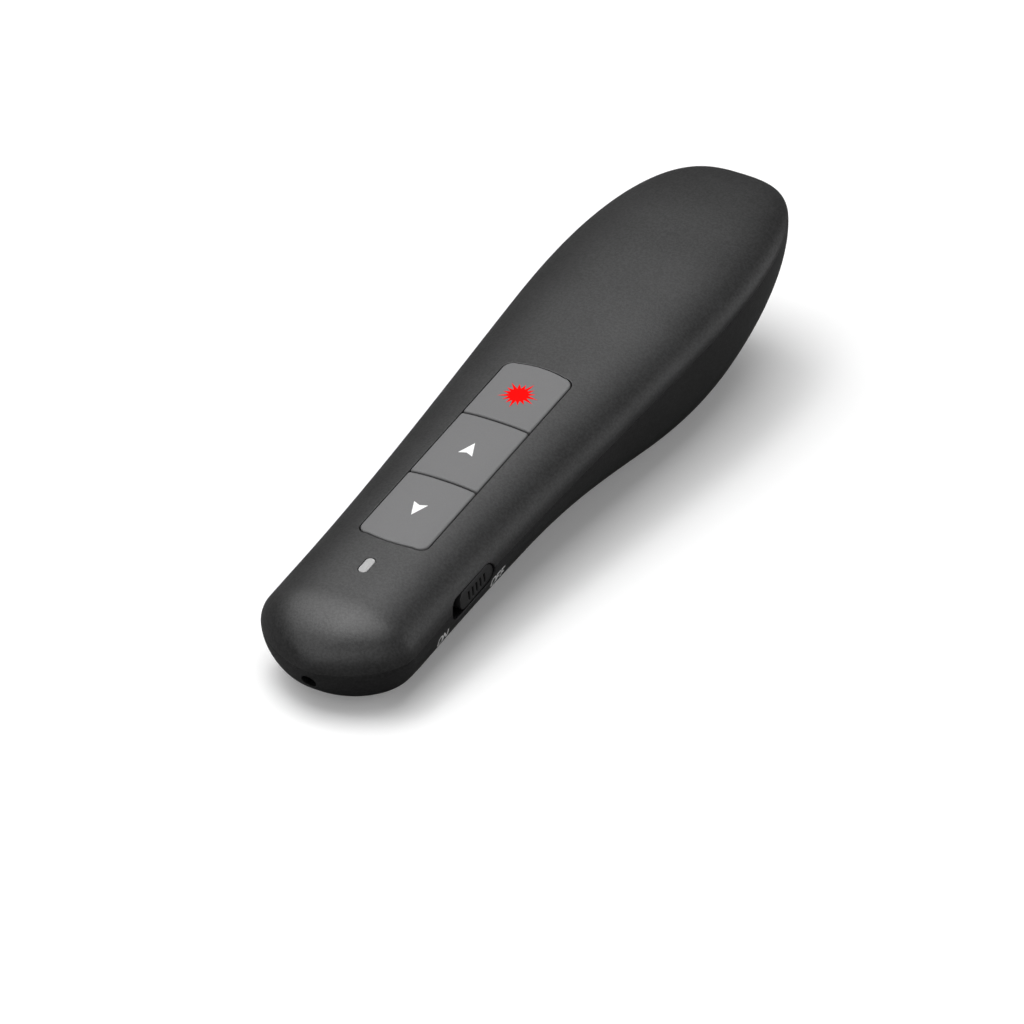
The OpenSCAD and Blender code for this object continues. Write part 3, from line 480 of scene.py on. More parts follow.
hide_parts("top_shell")


def effect(name, inputs, outputs):
    """An empty node group with named inputs (name, kind, value) and outputs (name, kind)."""
    group = bpy.data.node_groups.new(name, "ShaderNodeTree")
    for label, kind, value in inputs:
        socket = group.interface.new_socket(label, in_out="INPUT", socket_type="NodeSocket" + kind)
        socket.default_value = value
    for label, kind in outputs:
        group.interface.new_socket(label, in_out="OUTPUT", socket_type="NodeSocket" + kind)
    return group, group.nodes.new("NodeGroupInput"), group.nodes.new("NodeGroupOutput")


def node(tree, kind, links=(), **settings):
    """A node of a tree with its settings, and links or values for its inputs by name or number."""
    made = tree.nodes.new("ShaderNode" + kind)
    for key, value in settings.items():
        setattr(made, key, value)
    for key, value in dict(links).items():
        if isinstance(value, bpy.types.NodeSocket):
            tree.links.new(value, made.inputs[key])
        else:
            made.inputs[key].default_value = value
    return made


def maths(tree, operation, *values):
    """The result of a maths node on these links or values."""
    return node(tree, "Math", dict(enumerate(values)), operation=operation).outputs[0]


def noise(tree, place, scale, detail):
    """A noise from 0 to 1, scale waves to the metre."""
    return node(tree, "TexNoise", {"Vector": place, "Scale": scale, "Detail": detail}).outputs[0]


def moulded_grain():
    """Effect: the grain of a spark-eroded mould on the piece's own coordinates. Height is a noise
    at the grain's size (mm) plus half of one at a third of it. Tone runs from 0 to 1: it is 0.3 of a
    slow cloud of random tone plus 0.7 of painted light on the grain's own peaks, which are painted
    lighter than its pits, as if they caught more light."""
    group, given, put = effect("moulded_grain", [("Size", "Float", 0.3), ("Cloud", "Float", 14.0)],
                               [("Height", "Float"), ("Tone", "Float")])
    place = node(group, "TexCoord").outputs["Object"]
    grain = maths(group, "DIVIDE", 1000.0, given.outputs["Size"])
    cloud = maths(group, "DIVIDE", 1000.0, given.outputs["Cloud"])
    coarse = noise(group, place, grain, 2.0)
    fine = noise(group, place, maths(group, "MULTIPLY", grain, 3.0), 1.0)
    slow = noise(group, place, cloud, 3.0)
    height = maths(group, "MULTIPLY_ADD", fine, 0.5, coarse)
    cloudy = node(group, "MapRange", {0: slow, 1: 0.35, 2: 0.65, 4: 0.3}).outputs[0]
    # painted light: the grain's peaks are painted lighter than its pits
    painted_peak_light = node(group, "MapRange", {0: height, 1: 0.6, 2: 0.9, 4: 0.7}).outputs[0]
    group.links.new(height, put.inputs["Height"])
    group.links.new(maths(group, "ADD", cloudy, painted_peak_light), put.inputs["Tone"])
    return group


def finish(name, **values):
    """A material with one Principled shader and plain values on its sockets, by their names."""
    material = bpy.data.materials.new(name)
    material.use_nodes = True
    shader = material.node_tree.nodes["Principled BSDF"]
    for key, value in values.items():
        shader.inputs[key.replace("_", " ")].default_value = value
    return material, material.node_tree, shader


def paint(tree, shader, mask, low, high, socket="Base Color"):
    """A socket that runs from low to high as a mask goes from 0 to 1; colours are linear RGB."""
    if socket == "Base Color":
        ramp = node(tree, "Mix", {0: mask}, data_type="RGBA")
        ramp.inputs[6].default_value = (*low, 1.0)
        ramp.inputs[7].default_value = (*high, 1.0)
        tree.links.new(ramp.outputs[2], shader.inputs[socket])
    else:
        ramp = node(tree, "MapRange", {0: mask, 3: low, 4: high})
        tree.links.new(ramp.outputs[0], shader.inputs[socket])


def bump(tree, shader, height, depth):
    """The shader's normal, tipped by a height whose full step is depth metres."""
    lean = node(tree, "Bump", {"Height": height, "Distance": depth, "Strength": 1.0})
    tree.links.new(lean.outputs[0], shader.inputs["Normal"])


def moulded_plastic(name, low, high, rough, size, depth, **values):
    """Moulded plastic: two near tones by the grain's tone, uneven roughness and the grain's height."""
    material, tree, shader = finish(name, **values)
    grain = node(tree, "Group", node_tree=grain_effect)
    grain.inputs["Size"].default_value = size
    paint(tree, shader, grain.outputs["Tone"], low, high)
    paint(tree, shader, grain.outputs["Tone"], rough[0], rough[1], "Roughness")
    bump(tree, shader, grain.outputs["Height"], depth)
    return material


def clad(piece, material):
    """The piece wears this material all over."""
    piece.data.materials.clear()
    piece.data.materials.append(material)


grain_effect = moulded_grain()
black_plastic = moulded_plastic("soft_black_plastic", (0.0, 0.0, 0.0), (0.022, 0.022, 0.0225),
                                (0.46, 0.42), 0.4, 0.00002, Specular_IOR_Level=0.67)
clad(upper_shell, black_plastic)

# ---- Lower shell --------------------------------------------------------------------
# The half below the parting line: slim under the keys, deep in the palm. It has the openings for
# the battery door, four case screws, the beam and the receiver, and it's screwed to the upper one.
screw_places = [(8.6, 12.0), (-8.6, 12.0), (8.3, 55.3), (-8.3, 55.3)]
hole_d, hole_roll, beam_d, beam_z = 3.9, 0.15, 2.4, -2.2
door_hw, door_y0, door_y1, door_corner, door_gap = 10.75, 63.3, 108.0, 2.0, 0.25
bay_hw, bay_top, bay_foot, bay_corner = 7.12, -1.18, -7.42, 0.25
scoop_y, scoop_z, scoop_r, scoop_hw = 128.8, -9.9, 3.2, 4.0
on_belly, on_lower_flank = (from_plan(-1), -1, 2, -1), (from_flank, -1, 0, 1)
on_nose, on_tail = (from_end(0.0, 8.0), -1, 1, -1), (from_end(body_len, 118.0), -1, 1, 1)
through_nose, through_tail = (-1.0, 4.0), (122.0, 132.0)
through_sole, through_belly = (-12.0, -3.0), (-30.0, -6.0)   # at the screws, and at the door


def round_rect(hw, y0, y1, r, n):
    """A rectangle with round corners, anticlockwise from its right side."""
    return even_loop(np.vstack([arc(hw - r, y0 + r, r, -90, 0), arc(hw - r, y1 - r, r, 0, 90),
                                arc(-hw + r, y1 - r, r, 90, 180), arc(-hw + r, y0 + r, r, 180, 270)]), n)


def in_scoop(points):
    """True for the corners of the finger scoop."""
    away = np.hypot(points[:, 1] - scoop_y, points[:, 2] - scoop_z)
    below_bay = points[:, 2] < bay_foot - 0.05
    return (away < scoop_r + 0.1) & (np.abs(points[:, 0]) < scoop_hw + 0.1) & below_bay


beam_loop = even_loop(arc(0, beam_z, beam_d / 2, 0, 352.5, 48), 64)
hole_loops = [even_loop(arc(x, y, hole_d / 2, 0, 352.5, 48), 72) for x, y in screw_places]
door_opening = round_rect(door_hw, door_y0, door_y1, door_corner, 420)
bay_opening = round_rect(bay_hw, bay_foot, bay_top, bay_corner, 240)
scoop_side = even_loop(arc(scoop_y, scoop_z, scoop_r, 0, 350, 48), 96)
lower_skin = opened_skin(-1, [prism(scoop_side, -scoop_hw, scoop_hw, 0),
                              cutter(bay_opening, *through_tail, 1, small_roll),
                              cutter(slot_loop, *through_flank, 0),
                              cutter(door_opening, *through_belly, 2),
                              cutter(beam_loop, *through_nose, 1, small_roll)]
                         + [cutter(loop, *through_sole, 2, hole_roll) for loop in hole_loops])
# the bay's edge is an open line, because the scoop has cut away the middle of its foot
over_scoop = (np.abs(bay_opening[:, 0]) < scoop_hw) & (bay_opening[:, 1] < bay_foot + 0.01)
beside_scoop = bay_opening[~over_scoop]
step = np.linalg.norm(beside_scoop - np.roll(beside_scoop, 1, axis=0), axis=1)
beside_scoop = np.roll(beside_scoop, -int(np.argmax(step)), axis=0)
lower_shell = make_piece("lower_shell_skin", [
    lower_skin, land(-1), inner_walls("bottom_shell", -1, at_skin=in_scoop),
    rolled_rim(lip(slot_arch(-1), *on_lower_flank, closed=False), -1),
    lip(door_opening, *on_belly), lip(beam_loop, *on_nose, small_roll),
    lip(beside_scoop, *on_tail, small_roll, closed=False)]
    + [lip(loop, *on_belly, hole_roll) for loop in hole_loops], "housing")
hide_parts("bottom_shell")
# Painted shade: the lower shell wears a darker, less glossy copy of the upper shell's plastic, standing in
# for the shade of the table's shadow that its underside faces.
shaded_under_plastic = moulded_plastic("shell_plastic_with_painted_shade", (0.0, 0.0, 0.0), (0.014, 0.014, 0.0145),
                                (0.48, 0.44), 0.4, 0.00002, Specular_IOR_Level=0.48)
clad(lower_shell, shaded_under_plastic)

# ---- Keys ------------------------------------------------------------------------------
# Three grey keys in one column, a hair proud of the crown, each with a narrow rounded edge. They
# are moulded in a fine matt plastic, stand on tact switches and are parted by narrow grooves.
sep_a, sep_b, key_gap, key_part, key_proud = 39.8, 55.2, 0.12, 0.34, 0.12
key_roll, key_groove = 0.26, 0.3   # the edge round the column, and along the grooves
key_wall, key_sink = 0.8, 0.05     # how deep the caps' walls go, and how far the inside is lowered


def cover(loop, centre, lift, side, axis, sign, roll=0.2, depth=0.5, rings=30, dip=None):
    """A lid that follows the skin inside an outline: rings drawn out from its centre, an edge that
    turns down on a quarter circle of radius roll, and a wall to the depth. dip is a depth below
    the skin, by place, and a lid with a dip is shaded by its own edges."""
    out = outward(loop)
    fan = np.radians(np.linspace(0, 90, 8))
    flats = [centre + (loop - out * roll - centre) * t for t in np.linspace(0, 1, rings)[:-1]]
    flats += [loop - out * roll * (1 - math.sin(a)) for a in fan] + [loop]
    sink = [0.0] * (rings - 1) + [roll * (1 - math.cos(a)) for a in fan] + [depth]
    lean = [0.0] * (rings - 1) + list(fan) + [np.pi / 2]
    if dip is None:
        return draped(flats, lift, out, side, axis, sign, sink, lean)
    sink = [s + dip(flat)[:, None] for s, flat in zip(sink, flats)]
    return *draped(flats, lift, out, side, axis, sign, sink, lean)[:2], None


def lowered(part, by):
    """A part moved down by a distance."""
    return part[0] - np.array([0, 0, by]), part[1], part[2]


key_plastic = moulded_plastic("grey_key_plastic", (0.15, 0.15, 0.152), (0.165, 0.165, 0.167),
                              (0.52, 0.6), 0.22, 0.000006, Specular_IOR_Level=0.35)
key_ends = {"down": (key_start + key_gap, sep_a - key_part / 2, (True, False)),
            "up": (sep_a + key_part / 2, sep_b - key_part / 2, (False, False)),
            "laser": (sep_b + key_part / 2, key_end - key_gap, (False, True))}
for name, (low, high, bulged) in key_ends.items():
    outline = key_loop(low, high, key_gap - lid_clear, bulged, 400)
    beside = np.minimum(np.abs(outline[:, 1:] - sep_a), np.abs(outline[:, 1:] - sep_b))
    roll = key_groove + (key_roll - key_groove) * smooth((beside - key_part) / 0.6)
    top = cover(outline, np.array([0, (low + high) / 2]), *on_crown, roll, key_wall)
    inside = lowered(inner_walls(name + "_key", 1), key_sink)
    key = make_piece(name + "_key_cap", [lowered(top, -key_proud), inside], name + "_button")
    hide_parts(name + "_key")
    clad(key, key_plastic)

# ---- Marks on the keys -------------------------------------------------------------------
# A red burst on the laser key and a white arrowhead on the other two, printed in thick flat ink.
star_y, up_y, down_y, ink, ink_root = 61.95, 47.4, 32.5, 0.014, 0.03
spikes, spike_r, heart_r, spike_vary, burst_turn = 16, 3.2, 1.5, 0.13, 4
arrow_len, arrow_w = 2.9, 2.4
arrow_tip, arrow_notch, arrow_heart = 0.62, 0.22, 0.1   # places along it, as shares of its length


def printed(loop, centre, lift, side, rings=10):
    """Ink on the skin: the outline filled with rings from its centre, lifted by the ink's thickness,
    and an edge that goes down into the skin."""
    flats = [centre + (loop - centre) * t for t in np.linspace(0, 1, rings)] + [loop]
    base = [lift(flat) for flat in flats]
    up = [surface_normal(b, side) for b in base]
    high = [ink] * rings + [-ink_root]
    points = np.concatenate([b + n * h for b, n, h in zip(base, up, high)])
    return points, grid_faces(len(flats), len(loop), closed=True), np.concatenate(up)


turn = np.arange(2 * spikes)
uneven = 1 - spike_vary + spike_vary * np.cos(np.radians(120 * turn))
reach = np.where(turn % 2 == 0, spike_r * uneven, heart_r)
angle = np.pi * turn / spikes + math.radians(burst_turn)
burst = np.stack([reach * np.cos(angle), reach * np.sin(angle)], -1)
arrow_foot, arrow_mid = (arrow_tip - 1) * arrow_len, arrow_heart * arrow_len
arrow = np.array([[0, arrow_tip * arrow_len], [-arrow_w / 2, arrow_foot], [0, -arrow_notch * arrow_len],
                  [arrow_w / 2, arrow_foot]])


def dense(loop, n=8):
    """Each side of a polygon cut in n, with its corners kept."""
    t = np.linspace(0, 1, n, endpoint=False)[None, :, None]
    return (loop[:, None] * (1 - t) + np.roll(loop, -1, 0)[:, None] * t).reshape(-1, 2)


def ink_finish(name, colour):
    """Screen-printed ink: one strong colour that varies a little, with a very fine tooth."""
    dim = tuple(c * 0.94 for c in colour)
    return moulded_plastic(name, dim, colour, (0.5, 0.6), 0.12, 0.000002, Specular_IOR_Level=0.04)


red_ink = ink_finish("red_ink", (0.93, 0.0006, 0.0004))
white_ink = ink_finish("white_ink", (0.93, 0.93, 0.93))
for name, outline, y, heart_off, material in (("laser", burst, star_y, 0.0, red_ink),
                                              ("up", arrow, up_y, arrow_mid, white_ink),
                                              ("down", -arrow, down_y, -arrow_mid, white_ink)):
    filled = printed(dense(outline + np.array([0, y])), np.array([0, y + heart_off]), from_plan(1), 1)
    mark = make_piece(name + "_print", [lowered(filled, -key_proud)], name + "_button")
    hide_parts(name + "_mark")
    clad(mark, material)

# ---- Lamp window -------------------------------------------------------------------------
# A small pill of frosted plastic before the keys, a hair below the shell, with its edge rounded.
lamp_gap, lamp_sink, lamp_depth = 0.05, 0.05, 2.0
lamp_outline = pill(0, lamp_y, lamp_len - 2 * lamp_gap, lamp_w - 2 * lamp_gap, 160)
lamp_face = cover(lamp_outline, np.array([0, lamp_y]), *on_crown, small_roll, lamp_depth, rings=12)
lamp = make_piece("lamp_lens", [lowered(lamp_face, lamp_sink)], "housing")
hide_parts("lamp_window")
clad(lamp, moulded_plastic("frosted_lamp_plastic", (0.37, 0.37, 0.37), (0.42, 0.42, 0.42),
                           (0.35, 0.42), 0.2, 0.000003,
                           Subsurface_Weight=0.2, Subsurface_Radius=(0.001, 0.001, 0.001)))

# ---- Power knob --------------------------------------------------------------------------
# The slide switch's black knob: a stadium whose face is turned on a 6 mm radius, with five grip
# grooves cut across it. It rests at the tail's end of its slot and carries the inner slider.
knob_rest, knob_len, knob_h, knob_face_x, knob_r, knob_roll = 22.75, 9.3, 3.3, 12.7, 6.0, 0.14
knob_foot_x, flange_x, fine_half = 9.5, 10.0, 2.75   # fine_half: half the length of the grooved middle
groove_count, groove_pitch, groove_w, groove_deep, groove_len = 5, 1.1, 0.5, 0.45, 1.8


def knob_face():
    """The knob's face as a height over (y, z): the cylinder x = (r^2 - z^2)^(1/2), less its rounded
    edge and less the grooves, each a U across y with round ends in z."""
    mid, half, r = knob_rest + knob_len / 2, knob_len / 2, knob_h / 2
    ends = half - (1 - np.cos(np.linspace(0, np.pi / 2, 30))) * (half - fine_half)
    wall = groove_w / 2 * np.array([1.0, 0.98, 0.9, 0.75, 0.45, 0.0, -0.45, -0.75, -0.9, -0.98, -1.0])
    centres = (np.arange(groove_count) - (groove_count - 1) / 2) * groove_pitch
    y = np.unique(np.round(np.concatenate([ends, -ends, (centres[:, None] + wall).ravel(),
                                           np.linspace(-fine_half, fine_half, 56)]), 5))
    v = np.sin(np.linspace(-np.pi / 2, np.pi / 2, 81))
    edge = np.where(np.abs(y) > half - r, np.sqrt(np.maximum(r * r - (np.abs(y) - half + r) ** 2, 0)), r)
    yy, zz = y[:, None] + 0 * v, edge[:, None] * v
    inside = np.clip(r - np.hypot(np.maximum(np.abs(yy) - half + r, 0), zz), 0, knob_roll)
    rounded = knob_roll - np.sqrt(np.maximum(knob_roll ** 2 - (knob_roll - inside) ** 2, 0))
    u = np.abs(yy[..., None] - centres).min(-1) / (groove_w / 2)
    across = np.sqrt(np.clip(1 - u ** 4, 0, 1))
    along = np.sqrt(np.clip(1 - (np.abs(zz) / (groove_len / 2)) ** 10, 0, 1))
    x = knob_face_x - knob_r + np.sqrt(knob_r ** 2 - zz ** 2) - rounded - groove_deep * across * along
    return np.stack([x, yy + mid, zz + slot_mid_z], -1).reshape(-1, 3), grid_faces(len(y), len(v))


points, faces = knob_face()
# the wall round the face, from its edge down to the foot
rim = pill(knob_rest + knob_len / 2, slot_mid_z, knob_len, knob_h, 200, along=0)
out = np.insert(outward(rim), 0, 0.0, axis=1)
height = knob_face_x - knob_r + np.sqrt(knob_r ** 2 - (rim[:, 1] - slot_mid_z) ** 2) - knob_roll
wall = np.vstack([np.stack([height, rim[:, 0], rim[:, 1]], -1),
                  np.stack([0 * height + knob_foot_x, rim[:, 0], rim[:, 1]], -1)])


def knob_front(points):
    """True for what the new face stands for: everything of the CAD knob outside its flange."""
    return points[:, 0] > flange_x


knob = make_piece("power_knob_cap", [
    (points, faces[:, ::-1], None), (wall, grid_faces(2, 200, closed=True), np.vstack([out, out])),
    inner_walls("power_knob", 1, left_out=knob_front)], "power_switch")
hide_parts("power_knob")
satin_black = moulded_plastic("satin_knob_plastic", (0.014, 0.014, 0.0145), (0.018, 0.018, 0.0185),
                              (0.4, 0.46), 0.3, 0.000004)
clad(knob, satin_black)

# ---- Switch lettering ----------------------------------------------------------------------
# ON and OFF beside the slot's two ends, printed in white on the lower shell, tops towards the
# parting line. Each letter is drawn by a pen of even width along its strokes.
pen, letter_w, letter_h, letter_gap = 0.33, 1.15, 1.7, 0.36
print_lift, print_top, on_y, off_y = 0.012, -1.9, 16.5, 31.5


def stroke(path, pen_w, steps):
    """A flat band of even width along a polyline, mitred at its corners and cut in short steps."""
    t = np.linspace(0, 1, steps, endpoint=False)[None, :, None]
    run = np.vstack([(path[:-1, None] * (1 - t) + path[1:, None] * t).reshape(-1, 2), path[-1:]])
    leg = unit(np.diff(run, axis=0))
    first, second = np.vstack([leg[:1], leg]), np.vstack([leg, leg[-1:]])
    if np.allclose(path[0], path[-1]):
        first[0], second[-1] = leg[-1], leg[0]
    across = (first + second) / np.maximum(1 + (first * second).sum(1), 0.4)[:, None]
    side = np.stack([-across[:, 1], across[:, 0]], -1) * pen_w / 2
    return np.vstack([run - side, run, run + side]), grid_faces(3, len(run))


def letters():
    """Width and strokes of the three letters, in a box one wide and one high. The O is the oval
    x = cos(a)^0.85, y = sin(a)^0.7, with the signs kept."""
    a = np.linspace(0, 2 * np.pi, 41)
    oval = np.stack([0.5 + 0.5 * np.sign(np.cos(a)) * np.abs(np.cos(a)) ** 0.85,
                     0.5 + 0.5 * np.sign(np.sin(a)) * np.abs(np.sin(a)) ** 0.7], -1)
    return {"O": (1.0, [oval]), "N": (1.0, [np.array([[0, 0], [0, 1.0], [1, 0], [1, 1.0]])]),
            "F": (0.72, [np.array([[0, 0], [0, 1.0], [0.72, 1.0]]), np.array([[0, 0.52], [0.6, 0.52]])])}


alphabet = letters()
for word, at_y in (("ON", on_y), ("OFF", off_y)):
    parts = []
    for letter in word:
        width, paths = alphabet[letter]
        for path in paths:
            flat, faces = stroke(path * np.array([letter_w, letter_h]), pen, 6)
            base = from_flank(flat + np.array([at_y, print_top - letter_h]))
            up = surface_normal(base, -1)
            parts.append((base + up * print_lift, faces, up))
        at_y += width * letter_w + letter_gap
    lettering = make_piece("lettering_" + word.lower(), parts, "housing")
    clad(lettering, white_ink)

# ---- Battery door --------------------------------------------------------------------------
# The belly's door: one moulded lid with a nail recess at its tail end and two lugs at its front,
# where it swings. It carries the same grain as the shells.
nail_y, nail_below, nail_r, nail_hw = 104.0, 4.3, 5.0, 4.0
nail_z = -half_height(np.array([nail_y]), -1)[0] - nail_below
lid_hw, lid_y0, lid_y1 = door_hw - door_gap + lid_clear, door_y0 + door_gap, door_y1 - door_gap


def nail_recess(flat):
    """Depth of the nail recess: how far the roof z = nail_z + (r^2 - (y - nail_y)^2)^(1/2) of a
    cylinder across the lid stands above the lid's surface, faded at the cylinder's two ends."""
    surface = from_plan(-1)(flat)[:, 2]
    roof = nail_z + np.sqrt(np.maximum(nail_r ** 2 - (flat[:, 1] - nail_y) ** 2, 0))
    deep = np.maximum(roof - surface, 0) * (np.abs(flat[:, 1] - nail_y) < nail_r)
    return deep * smooth((nail_hw - np.abs(flat[:, 0])) / 0.5)


def in_recess(points):
    """True inside the cylinder of the CAD's recess."""
    away = np.hypot(points[:, 1] - nail_y, points[:, 2] - nail_z)
    return (away < nail_r + 0.15) & (np.abs(points[:, 0]) < nail_hw + 0.1)


door_outline = round_rect(lid_hw, lid_y0, lid_y1, door_corner, 560)
door_mid = np.array([0, (door_y0 + door_y1) / 2])
door = make_piece("battery_door_lid", [
    cover(door_outline, door_mid, *on_belly, depth=0.6, rings=120, dip=nail_recess),
    inner_walls("battery_door", -1, left_out=in_recess)], "door")
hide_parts("battery_door")
# Painted shade: the door wears the lower shell's darkened copy of the shell plastic, for the shade under
# the belly.
clad(door, shaded_under_plastic)

# ---- Receiver --------------------------------------------------------------------------------
# The radio receiver stows in the tail: a satin black cap whose end follows the tail's skin, a hair
# inside it, on a plated plug with a white tongue. It pulls straight out by the scoop under it.
cap_hw, cap_top, cap_foot, cap_inset, cap_edge, cap_corner = 7.0, -1.3, -7.3, 0.15, 0.15, 0.5


def set_in(lift, by):
    """A surface moved along the body's axis, towards the nose."""
    return lambda flat: lift(flat) - np.array([0, by, 0])


cap_outline = round_rect(cap_hw - cap_edge, cap_foot + cap_edge, cap_top - cap_edge, cap_corner, 260)
cap = make_piece("receiver_cap_skin", [
    cover(grown(cap_outline, cap_edge + lid_clear), np.array([0, (cap_top + cap_foot) / 2]),
          set_in(on_tail[0], cap_inset), *on_tail[1:], roll=0.25, depth=0.7),
    inner_walls("receiver_cap", -1, skin=0.35)], "receiver")
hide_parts("receiver_cap")
clad(cap, satin_black)

# ---- Inside and fixings ------------------------------------------------------------------------
# What shows through the openings and when the door or the receiver is out: cells, contacts,
# board, tact switches, laser module, plug and case screws, each in its own real finish.
cell_len = 44.5


def worked_metal():
    """Effect: drawn and plated metal. Streak is a noise stretched twelve times along the body; Spot
    is a noise for handling stains."""
    group, given, put = effect("worked_metal", [("Size", "Float", 0.2)],
                               [("Streak", "Float"), ("Spot", "Float")])
    place = node(group, "TexCoord").outputs["Object"]
    long_way = node(group, "Mapping", {"Vector": place, "Scale": (1.0, 0.083, 1.0)}).outputs[0]
    streak = noise(group, long_way, maths(group, "DIVIDE", 1000.0, given.outputs["Size"]), 3.0)
    spot = noise(group, place, 260.0, 4.0)
    group.links.new(streak, put.inputs["Streak"])
    group.links.new(node(group, "MapRange", {0: spot, 1: 0.4, 2: 0.7}).outputs[0], put.inputs["Spot"])
    return group


def metal(name, low, high, rough, size=0.2):
    """A bare or plated metal: its colour dulls in spots, and its roughness and height follow the
    streaks, 0.3 micrometres deep."""
    material, tree, shader = finish(name, Metallic=1.0)
    work = node(tree, "Group", node_tree=metal_effect)
    work.inputs["Size"].default_value = size
    paint(tree, shader, work.outputs["Spot"], high, low)
    paint(tree, shader, work.outputs["Streak"], rough[0], rough[1], "Roughness")
    bump(tree, shader, work.outputs["Streak"], 0.0000003)
    return material


def cell_wrap():
    """The cells' plain printed sleeve: satin grey with a dark band at one end, and bare steel at both
    ends. Where a point lies along the cell comes from its dot product with the cell's axis."""
    material, tree, shader = finish("cell_sleeve", Coat_Weight=0.3, Coat_Roughness=0.12)
    grain = node(tree, "Group", node_tree=grain_effect)
    place = node(tree, "TexCoord").outputs["Object"]
    along = node(tree, "VectorMath", {0: place, 1: tuple(axis)}, operation="DOT_PRODUCT").outputs["Value"]
    share = node(tree, "MapRange", {0: along, 1: cell_span[0], 2: cell_span[1]}).outputs[0]
    ramp = node(tree, "ValToRGB", {0: share})
    ramp.color_ramp.interpolation = "CONSTANT"
    steel, band, sleeve = (0.62, 0.62, 0.6), (0.1, 0.1, 0.105), (0.33, 0.34, 0.35)
    stops = [(0.0, steel), (0.03, band), (0.2, sleeve), (0.97, steel)]
    while len(ramp.color_ramp.elements) < len(stops):
        ramp.color_ramp.elements.new(0.5)
    for element, (where, colour) in zip(ramp.color_ramp.elements, stops):
        element.position, element.color = where, (*colour, 1.0)
    tree.links.new(ramp.outputs[0], shader.inputs["Base Color"])
    tree.links.new(maths(tree, "GREATER_THAN", ramp.outputs[0], 0.5), shader.inputs["Metallic"])
    paint(tree, shader, grain.outputs["Tone"], 0.3, 0.38, "Roughness")
    bump(tree, shader, grain.outputs["Height"], 0.000002)
    return material


def clear_lens():
    """Moulded acrylic: clear, with a faint haze in its roughness."""
    material, tree, shader = finish("clear_lens", Base_Color=(0.92, 0.95, 0.97, 1),
                                    Transmission_Weight=1.0, IOR=1.49)
    grain = node(tree, "Group", node_tree=grain_effect)
    paint(tree, shader, grain.outputs["Tone"], 0.03, 0.07, "Roughness")
    return material


lowest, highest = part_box("cell_left")
axis = np.array([0, math.cos(tilt), math.sin(tilt)])
middle = float(((np.array(lowest) + np.array(highest)) / 2) @ axis)
cell_span = (middle - cell_len / 2000, middle + cell_len / 2000)
metal_effect = worked_metal()
# for each slot its name, two tones, roughness, and the grain's size in mm and depth in metres
plastics = {
    "board": ("solder_mask", (0.010, 0.085, 0.030), (0.016, 0.12, 0.045), (0.25, 0.35), 0.5, 0.000004),
    "chip": ("moulded_epoxy", (0.016, 0.016, 0.017), (0.026, 0.026, 0.027), (0.55, 0.7), 0.12, 0.000006),
    "passives": ("fired_ceramic", (0.26, 0.17, 0.09), (0.42, 0.3, 0.17), (0.4, 0.5), 0.2, 0.000003),
    "emitter": ("lamp_resin", (0.68, 0.62, 0.3), (0.82, 0.78, 0.45), (0.15, 0.25), 0.3, 0.000002),
    "tact_body": ("black_nylon", (0.022, 0.022, 0.024), (0.04, 0.04, 0.042), (0.4, 0.5), 0.15, 0.000004),
    "stem_plastic": ("cream_acetal", (0.55, 0.5, 0.4), (0.68, 0.62, 0.52), (0.3, 0.4), 0.2, 0.000003),
    "tongue_plastic": ("white_nylon", (0.72, 0.72, 0.68), (0.84, 0.84, 0.8), (0.3, 0.4), 0.2, 0.000003),
    "lead_red": ("red_insulation", (0.3, 0.012, 0.01), (0.45, 0.02, 0.016), (0.35, 0.45), 0.3, 0.000003),
    "lead_black": ("black_insulation", (0.015, 0.015, 0.015), (0.03, 0.03, 0.03), (0.35, 0.45), 0.3,
                   0.000003)}
# for each slot its name, its dulled and its clean tone, and roughness; fine turned marks have a size
metals = {
    "metal_can": ("plated_can", (0.46, 0.46, 0.47), (0.66, 0.66, 0.68), (0.27, 0.31)),
    "copper_trace": ("gold_plated_trace", (0.6, 0.4, 0.14), (0.83, 0.6, 0.28), (0.2, 0.32)),
    "brass": ("turned_brass", (0.48, 0.34, 0.13), (0.72, 0.55, 0.26), (0.24, 0.36), 0.08),
    "spring_steel": ("nickel_plate", (0.5, 0.49, 0.47), (0.72, 0.71, 0.69), (0.18, 0.3)),
    "screw_steel": ("black_oxide_steel", (0.07, 0.07, 0.075), (0.12, 0.12, 0.125), (0.35, 0.5), 0.1)}
finishes = {slot: moulded_plastic(*values, Coat_Weight=0.4 if slot == "board" else 0.0)
            for slot, values in plastics.items()}
finishes.update({slot: metal(*values) for slot, values in metals.items()})
finishes.update({"lens": clear_lens(), "cell_can": cell_wrap()})
replaced = {"top_shell", "bottom_shell", "laser_key", "up_key", "down_key", "laser_mark", "up_mark",
            "down_mark", "lamp_window", "power_knob", "battery_door", "receiver_cap"}
for name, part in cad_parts.items():
    if name not in replaced:
        for place in part.material_slots:
            place.material = finishes[place.material.name.split(".")[0]]

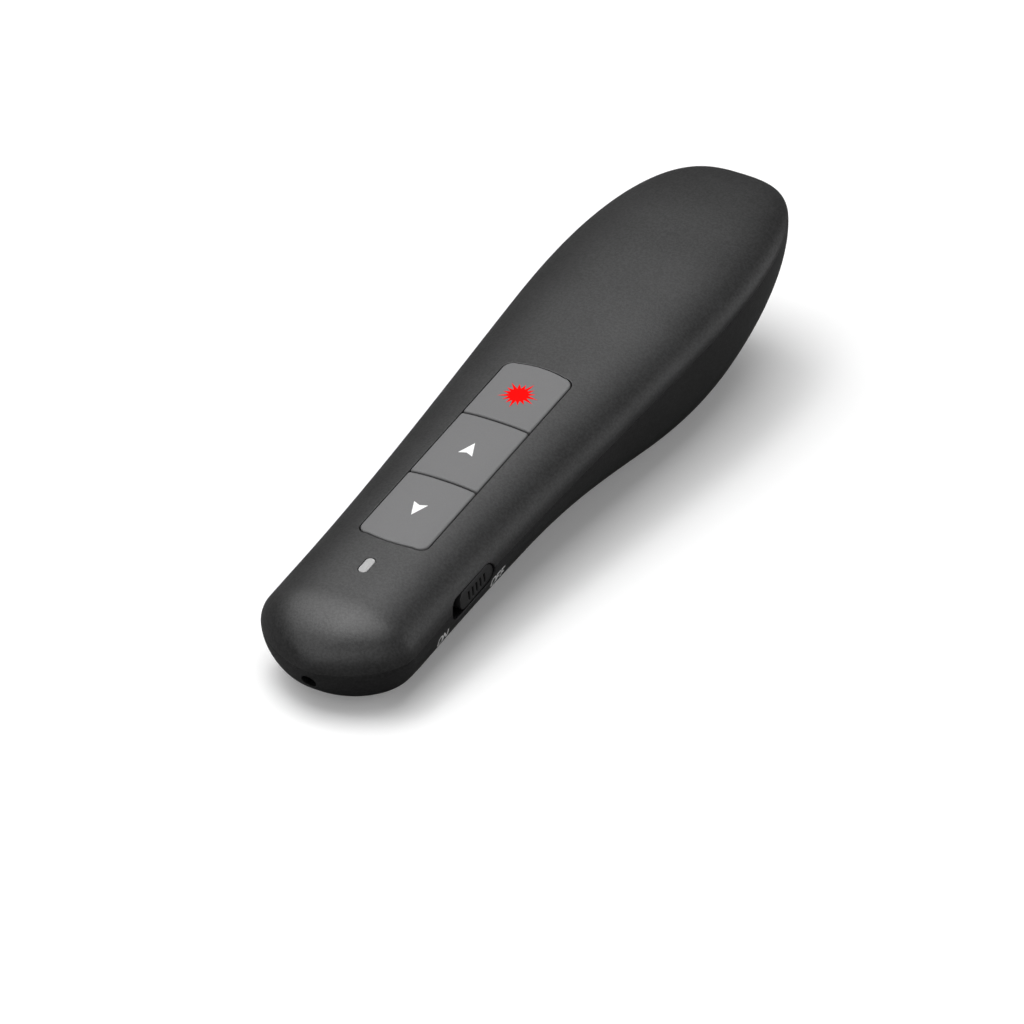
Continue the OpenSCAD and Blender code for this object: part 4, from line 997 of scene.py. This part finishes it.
# ---- Table and studio ------------------------------------------------------------------
# A plain white table in a white room, and twelve large soft lights of one size round and over the
# object. The table looks white to the camera, with its shadows lifted a little by a faint glow, and
# it throws little of its light back on the object.
table_half = 0.75
seen_white, thrown_white, shadow_glow = 0.9, 0.155, 0.115
table_mesh = bpy.data.meshes.new("table")
table_mesh.from_pydata([(-table_half, -table_half, 0), (table_half, -table_half, 0),
                        (table_half, table_half, 0), (-table_half, table_half, 0)], [], [(0, 1, 2, 3)])
table = in_scene("table", table_mesh)
white_table, tree, shader = finish("white_table", Roughness=0.6, Specular_IOR_Level=0.2,
                                   Emission_Color=(1, 1, 1, 1))
seen = node(tree, "LightPath").outputs["Is Camera Ray"]
paint(tree, shader, seen, (thrown_white,) * 3, (seen_white,) * 3)
paint(tree, shader, seen, 0.0, shadow_glow, "Emission Strength")
clad(table, white_table)

lamp_size, lamp_reach = 0.95, 1.2
# for each light its bearing from the nose and its height, in degrees, and its power in watts
studio = [(-135, 12, 0.5), (0, 12, 3.0), (45, 12, 1.0), (90, 12, 0.75), (135, 12, 3.2), (180, 12, 0.4),
          (-90, 12, 0.3), (-36, 35, 2.9), (36, 35, 1.9), (-135, 60, 3.2), (-90, 60, 5.4), (0, 90, 8.3)]
for number, (bearing, height, power) in enumerate(studio):
    glow = bpy.data.lights.new("soft_light_%d" % number, "AREA")
    glow.size, glow.energy = lamp_size, power
    holder = in_scene(glow.name, glow)
    holder.matrix_world = (Matrix.Rotation(math.radians(bearing), 4, "Z")
                           @ Matrix.Rotation(math.radians(90 - height), 4, "X")
                           @ Matrix.Translation((0, 0, lamp_reach)))
    holder.visible_camera = False

room = bpy.data.worlds.new("white_room")
room.use_nodes = True
seen = node(room.node_tree, "LightPath").outputs["Is Camera Ray"]
room.node_tree.links.new(seen, room.node_tree.nodes["Background"].inputs[1])
room.node_tree.nodes["Background"].inputs[0].default_value = (1, 1, 1, 1)
bpy.context.scene.world = room
bpy.context.scene.view_settings.view_transform = "Standard"

# ---- Camera ------------------------------------------------------------------------------
# It looks at the keys from the nose's right, a third of the way up.
aim = (0.0004561, -0.0065224, 0.0024903)
azimuth, elevation, roll, distance = 30.6374, 33.3888, 0.076, 1.2
eye = bpy.data.cameras.new("camera")
eye.sensor_width, eye.lens, eye.clip_start, eye.clip_end = 36.0, 279.946, 0.1, 20.0
camera = in_scene("camera", eye)
camera.matrix_world = (Matrix.Translation(aim) @ Matrix.Rotation(math.radians(azimuth), 4, "Z")
                       @ Matrix.Rotation(math.radians(90 - elevation), 4, "X")
                       @ Matrix.Rotation(math.radians(roll), 4, "Z") @ Matrix.Translation((0, 0, distance)))
bpy.context.scene.camera = camera
